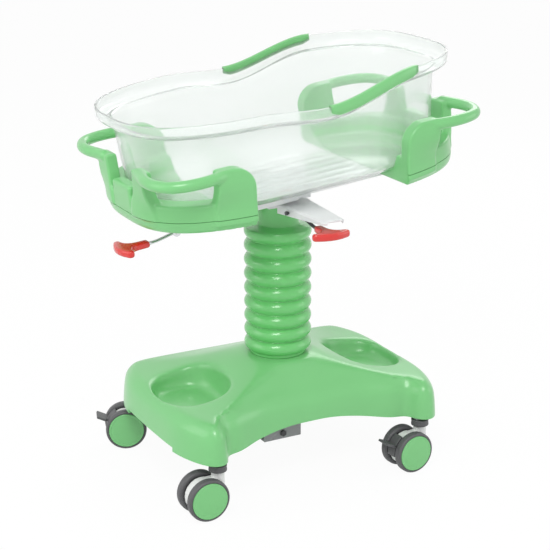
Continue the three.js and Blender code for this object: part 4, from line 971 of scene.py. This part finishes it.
tub = new_piece("clear_tub", *lofted(tub_rings), clear_plastic)
tub.data.transform(tub_place)
settle(tub, "tub", "clear_plastic", "tub")

pip_tree, size_of, result = geometry_tree(
    "floor_pips",
    [
        ("Length", "Float"),
        ("Width", "Float"),
        ("Columns", "Int"),
        ("Rows", "Int"),
        ("Radius", "Float"),
        ("Material", "Material"),
    ],
)
grid_sizes = [size_of[label] for label in ("Length", "Width", "Columns", "Rows")]
places = step_of(pip_tree, "GeometryNodeMeshGrid", *grid_sizes)[0]
pip = step_of(pip_tree, "GeometryNodeMeshUVSphere", 16, 8, size_of["Radius"])[0]
spread = step_of(pip_tree, "GeometryNodeInstanceOnPoints", places, None, pip)[0]
spread = step_of(pip_tree, "GeometryNodeRealizeInstances", spread)[0]
spread = step_of(pip_tree, "GeometryNodeSetMaterial", spread, None, size_of["Material"])[0]
pip_tree.links.new(spread, result[0])
pip_place = Matrix.Translation((0.255, 0, floor_height + tub_wall))
pip_sizes = {"Length": 0.016, "Width": 0.150, "Columns": 2, "Rows": 3, "Radius": 0.0036}
pips = grown("floor_pips", pip_tree, {**pip_sizes, "Material": clear_plastic})
pips.data.transform(tub_place @ pip_place)
settle(pips, "tub", "clear_plastic")

# Rim trims: green channels snapped over the lip where it steps up, one on each long side. Their
# flanges get shorter towards the ends.
trim_start, trim_end, trim_taper = -0.004, 0.238, 0.026
trim_overrun = 0.002
flange_share = 0.55
trim_section = [
    (lip + 0.0008, 0.0205),
    (lip + 0.0020, 0.0212),
    (lip + 0.0032, 0.0198),
    (lip + 0.0032, -0.0012),
    (lip + 0.0025, -0.0030),
    (lip + 0.0010, -0.0038),
    (lip - tub_wall - 0.0010, -0.0038),
    (lip - tub_wall - 0.0025, -0.0030),
    (lip - tub_wall - 0.0032, -0.0012),
    (lip - tub_wall - 0.0032, 0.0108),
    (lip - tub_wall - 0.0020, 0.0122),
    (lip - tub_wall - 0.0006, 0.0115),
    (lip - tub_wall - 0.0006, -0.0010),
    (lip + 0.0006, -0.0010),
]


def trim_ring(x, y, rim):
    """One section of a trim, whose flanges are shorter near the ends of the strip."""
    reach = x * rim_length
    begun = smooth_share(reach, trim_start - trim_overrun, trim_start + trim_taper)
    ended = smooth_share(reach, trim_end - trim_taper, trim_end + trim_overrun)
    full = flange_share + (1 - flange_share) * min(begun, 1 - ended)
    ring = []
    for grow, below in trim_section:
        drop = below * full if below > 0 else below
        ring.append(Vector((x * (wall_x + grow), y * (wall_y + grow), rim - drop)))
    return ring


for side, name in ((-1, "near"), (1, "far")):
    strip = [
        trim_ring(x, y, rim)
        for (x, y), rim in zip(tub_outline, rim_heights)
        if y * side > 0.7 and trim_start < x * rim_length < trim_end
    ]
    trim = new_piece(f"trim_{name}", *lofted(strip), green_plastic)
    trim.data.transform(tub_place)
    settle(trim, "tub", "green_plastic", f"rim_trim_{name}")

# End cradles: thick green mouldings that carry the tub's ends. A side plate and a leg stand at each
# corner with a round grip bar between them. The foot one is the head one turned round.
half_cradle, half_cradle_width = 0.400, 0.256
cradle_bottom, sill = 0.004, 0.067
cradle_fuse_voxel = 0.0026
cradle_voxel, cradle_rounds = 0.0024, 8
seam, seam_width, seam_depth = 0.030, 0.0014, 0.0026
groove_reach = 0.030
plate_start, plate_end = 0.190, 0.278
plate_bottom, plate_top = cradle_bottom + 0.012, 0.146
plate_face, plate_thickness = 0.257, 0.034
plate_corner, plate_round = 0.006, 0.052
bar_radius, bar_height = 0.013, 0.133
bar_end, bar_side, bar_corner = 0.404, 0.258, 0.086
leg_y, proud = 0.095, 0.0042
rise_half_width, rise_depth, rise_top = 0.048, 0.030, 0.092
tub_clearance, under_clearance = 0.0008, 0.007


def cradle_ring(inset, height):
    """A level ring of the tray's wall, drawn in by an inset."""
    reach_x, reach_y = half_cradle - inset, half_cradle_width - inset
    return [Vector((x * reach_x, y * reach_y, height)) for x, y in tub_outline]


def wall_at(x):
    """How far out the tray's long wall stands at a distance from the middle."""
    share = min(1, x / half_cradle)
    return half_cradle_width * (1 - share**oblong_order) ** (1 / oblong_order)


def end_at(y):
    """How far out the tray's end wall stands at a distance from the middle."""
    share = min(1, abs(y) / half_cradle_width)
    return half_cradle * (1 - share**oblong_order) ** (1 / oblong_order)


def side_plate(side):
    """Rings of a side plate that follows the tray's wall at its foot and is straight at its top."""
    rings = []
    for height in (plate_bottom, 0.030, 0.050, 0.066, 0.082, 0.098, 0.115, plate_top):
        straight = smooth_share(height, 0.045, 0.115)
        front = [plate_start + (plate_end - plate_start) * k / 10 for k in range(11)]
        face = [(x, (wall_at(x) + proud) * (1 - straight) + plate_face * straight) for x in front]
        ring = [Vector((x, side * y, height)) for x, y in face]
        ring += [Vector((x, side * (y - plate_thickness), height)) for x, y in face[::-1]]
        rings.append(ring)
    return rings


def plate_window(side):
    """Rings of a side plate's outline through its thickness, with a big round at its inner top."""
    outer = (plate_end - plate_corner, plate_top - plate_corner)
    inner = (plate_start + plate_round, plate_top - plate_round)
    profile = [(plate_start, plate_bottom), (plate_end, plate_bottom)]
    profile += arc(outer, plate_corner, 0, 90, 4)
    profile += arc(inner, plate_round, 90, 180, 16)
    return [[Vector((x, side * y, z)) for x, z in profile] for y in (0.10, 0.40)]


def leg_rings(side):
    """Rings of a leg that grows out of the end wall and narrows up to the bar."""
    rings = []
    for height, spread, depth in [
        (seam, 0.044, 0.026),
        (0.050, 0.041, 0.027),
        (sill, 0.037, 0.028),
        (0.085, 0.031, 0.029),
        (0.105, 0.028, 0.028),
        (bar_height + 0.006, 0.026, 0.026),
    ]:
        straight = smooth_share(height, 0.045, 0.105)
        outer = []
        for k in range(7):
            y = side * leg_y + spread * (k / 3 - 1)
            x = (end_at(y) + proud) * (1 - straight) + (bar_end - 0.006) * straight
            outer.append((x, y))
        ring = [Vector((x, y, height)) for x, y in outer]
        ring += [Vector((x - depth, y, height)) for x, y in outer[::-1]]
        rings.append(ring)
    return rings


def bar_rings(side):
    """Rings of the round bar from a side plate round the corner to a leg."""
    steps, sides = 48, 20
    path = [
        (plate_end - 0.020, bar_side - 0.014),
        (plate_end + 0.008, bar_side - 0.004),
        (bar_end - bar_corner, bar_side),
        (bar_end - 0.57 * bar_corner, bar_side - 0.06 * bar_corner),
        (bar_end - 0.24 * bar_corner, bar_side - 0.25 * bar_corner),
        (bar_end - 0.04 * bar_corner, bar_side - 0.64 * bar_corner),
        (bar_end, bar_side - 1.10 * bar_corner),
        (bar_end - 0.008, leg_y + 0.025),
        (bar_end - 0.014, leg_y - 0.006),
    ]
    spots = through([Vector((x, side * y, bar_height)) for x, y in path], steps)
    spots.append(Vector((path[-1][0], side * path[-1][1], bar_height)))
    rings = []
    for k, spot in enumerate(spots):
        along = (spots[min(k + 1, steps)] - spots[max(k - 1, 0)]).normalized()
        across = Vector((-along.y, along.x, 0)).normalized()
        ring = []
        for step in range(sides):
            angle = 2 * math.pi * step / sides
            out = math.cos(angle) * across + math.sin(angle) * Vector((0, 0, 1))
            ring.append(spot + bar_radius * out)
        rings.append(ring)
    return rings


def tub_room(gap):
    """Vertices and faces of the tub's outside, grown by a gap."""
    return lofted([*bowl_rings(gap, gap * 0.4), tub_ring(gap, gap, plate_top + 0.04)])


def beyond(start):
    """Vertices and faces of a block that holds all of the tray past a distance from the middle."""
    return boxed((start, -0.4, -0.1), (0.6, 0.4, 0.4), 0.0005)


def joined(thing, vertices, faces):
    """Adds another closed shape to a piece's mesh, to be fused later."""
    extra = new_piece("extra", vertices, faces, thing.data.materials[0])
    both = bmesh.new()
    both.from_mesh(thing.data)
    both.from_mesh(extra.data)
    both.to_mesh(thing.data)
    both.free()
    bpy.data.objects.remove(extra)


tray_rings = [
    cradle_ring(0.0095, cradle_bottom),
    cradle_ring(0.003, cradle_bottom + 0.008),
    cradle_ring(0.0, cradle_bottom + 0.026),
    cradle_ring(0.0008, 0.050),
    cradle_ring(0.0018, sill),
]
tray = new_piece("tray", *lofted(rounded_rings(tray_rings, 3)), green_plastic)
cut(tray, *beyond(plate_start), "INTERSECT")
under_rings = [
    cradle_ring(0.0175, -0.02),
    cradle_ring(0.011, 0.014),
    cradle_ring(0.011, sill - 0.008),
]
under = new_piece("under", *lofted(under_rings), green_plastic)
cut(under, *beyond(plate_start + 0.008), "INTERSECT")
cut(under, *tub_room(under_clearance))
cut(tray, *shape_of(under))
for side in (-1, 1):
    plate = new_piece("plate", *lofted(side_plate(side)), green_plastic)
    cut(plate, *lofted(plate_window(side)), "INTERSECT")
    joined(tray, *shape_of(plate))
    joined(tray, *lofted(leg_rings(side)))
    joined(tray, *lofted(bar_rings(side)))
rise_low = (half_cradle - rise_depth, -rise_half_width, sill - 0.030)
rise_high = (half_cradle, rise_half_width, rise_top)
joined(tray, *boxed(rise_low, rise_high, 0.006))
moulded(tray, cradle_fuse_voxel, 0)
cut(tray, *tub_room(tub_clearance))
moulded(tray, cradle_voxel, cradle_rounds)
groove = [
    cradle_ring(-groove_reach, seam),
    cradle_ring(seam_depth, seam),
    cradle_ring(seam_depth, seam + seam_width),
    cradle_ring(-groove_reach, seam + seam_width),
]
cut(tray, *lofted(groove, hoop=True))
tray.data.set_sharp_from_angle(angle=sharp_from)
for end, turn in (("head", 0), ("foot", math.pi)):
    cradle = bpy.data.objects.new(f"end_cradle_{end}", tray.data.copy())
    scene.collection.objects.link(cradle)
    cradle.data.transform(tub_place @ Matrix.Rotation(turn, 4, "Z"))
    settle(cradle, "tilt", "green_plastic", f"cradle_{end}")
bpy.data.objects.remove(tray)
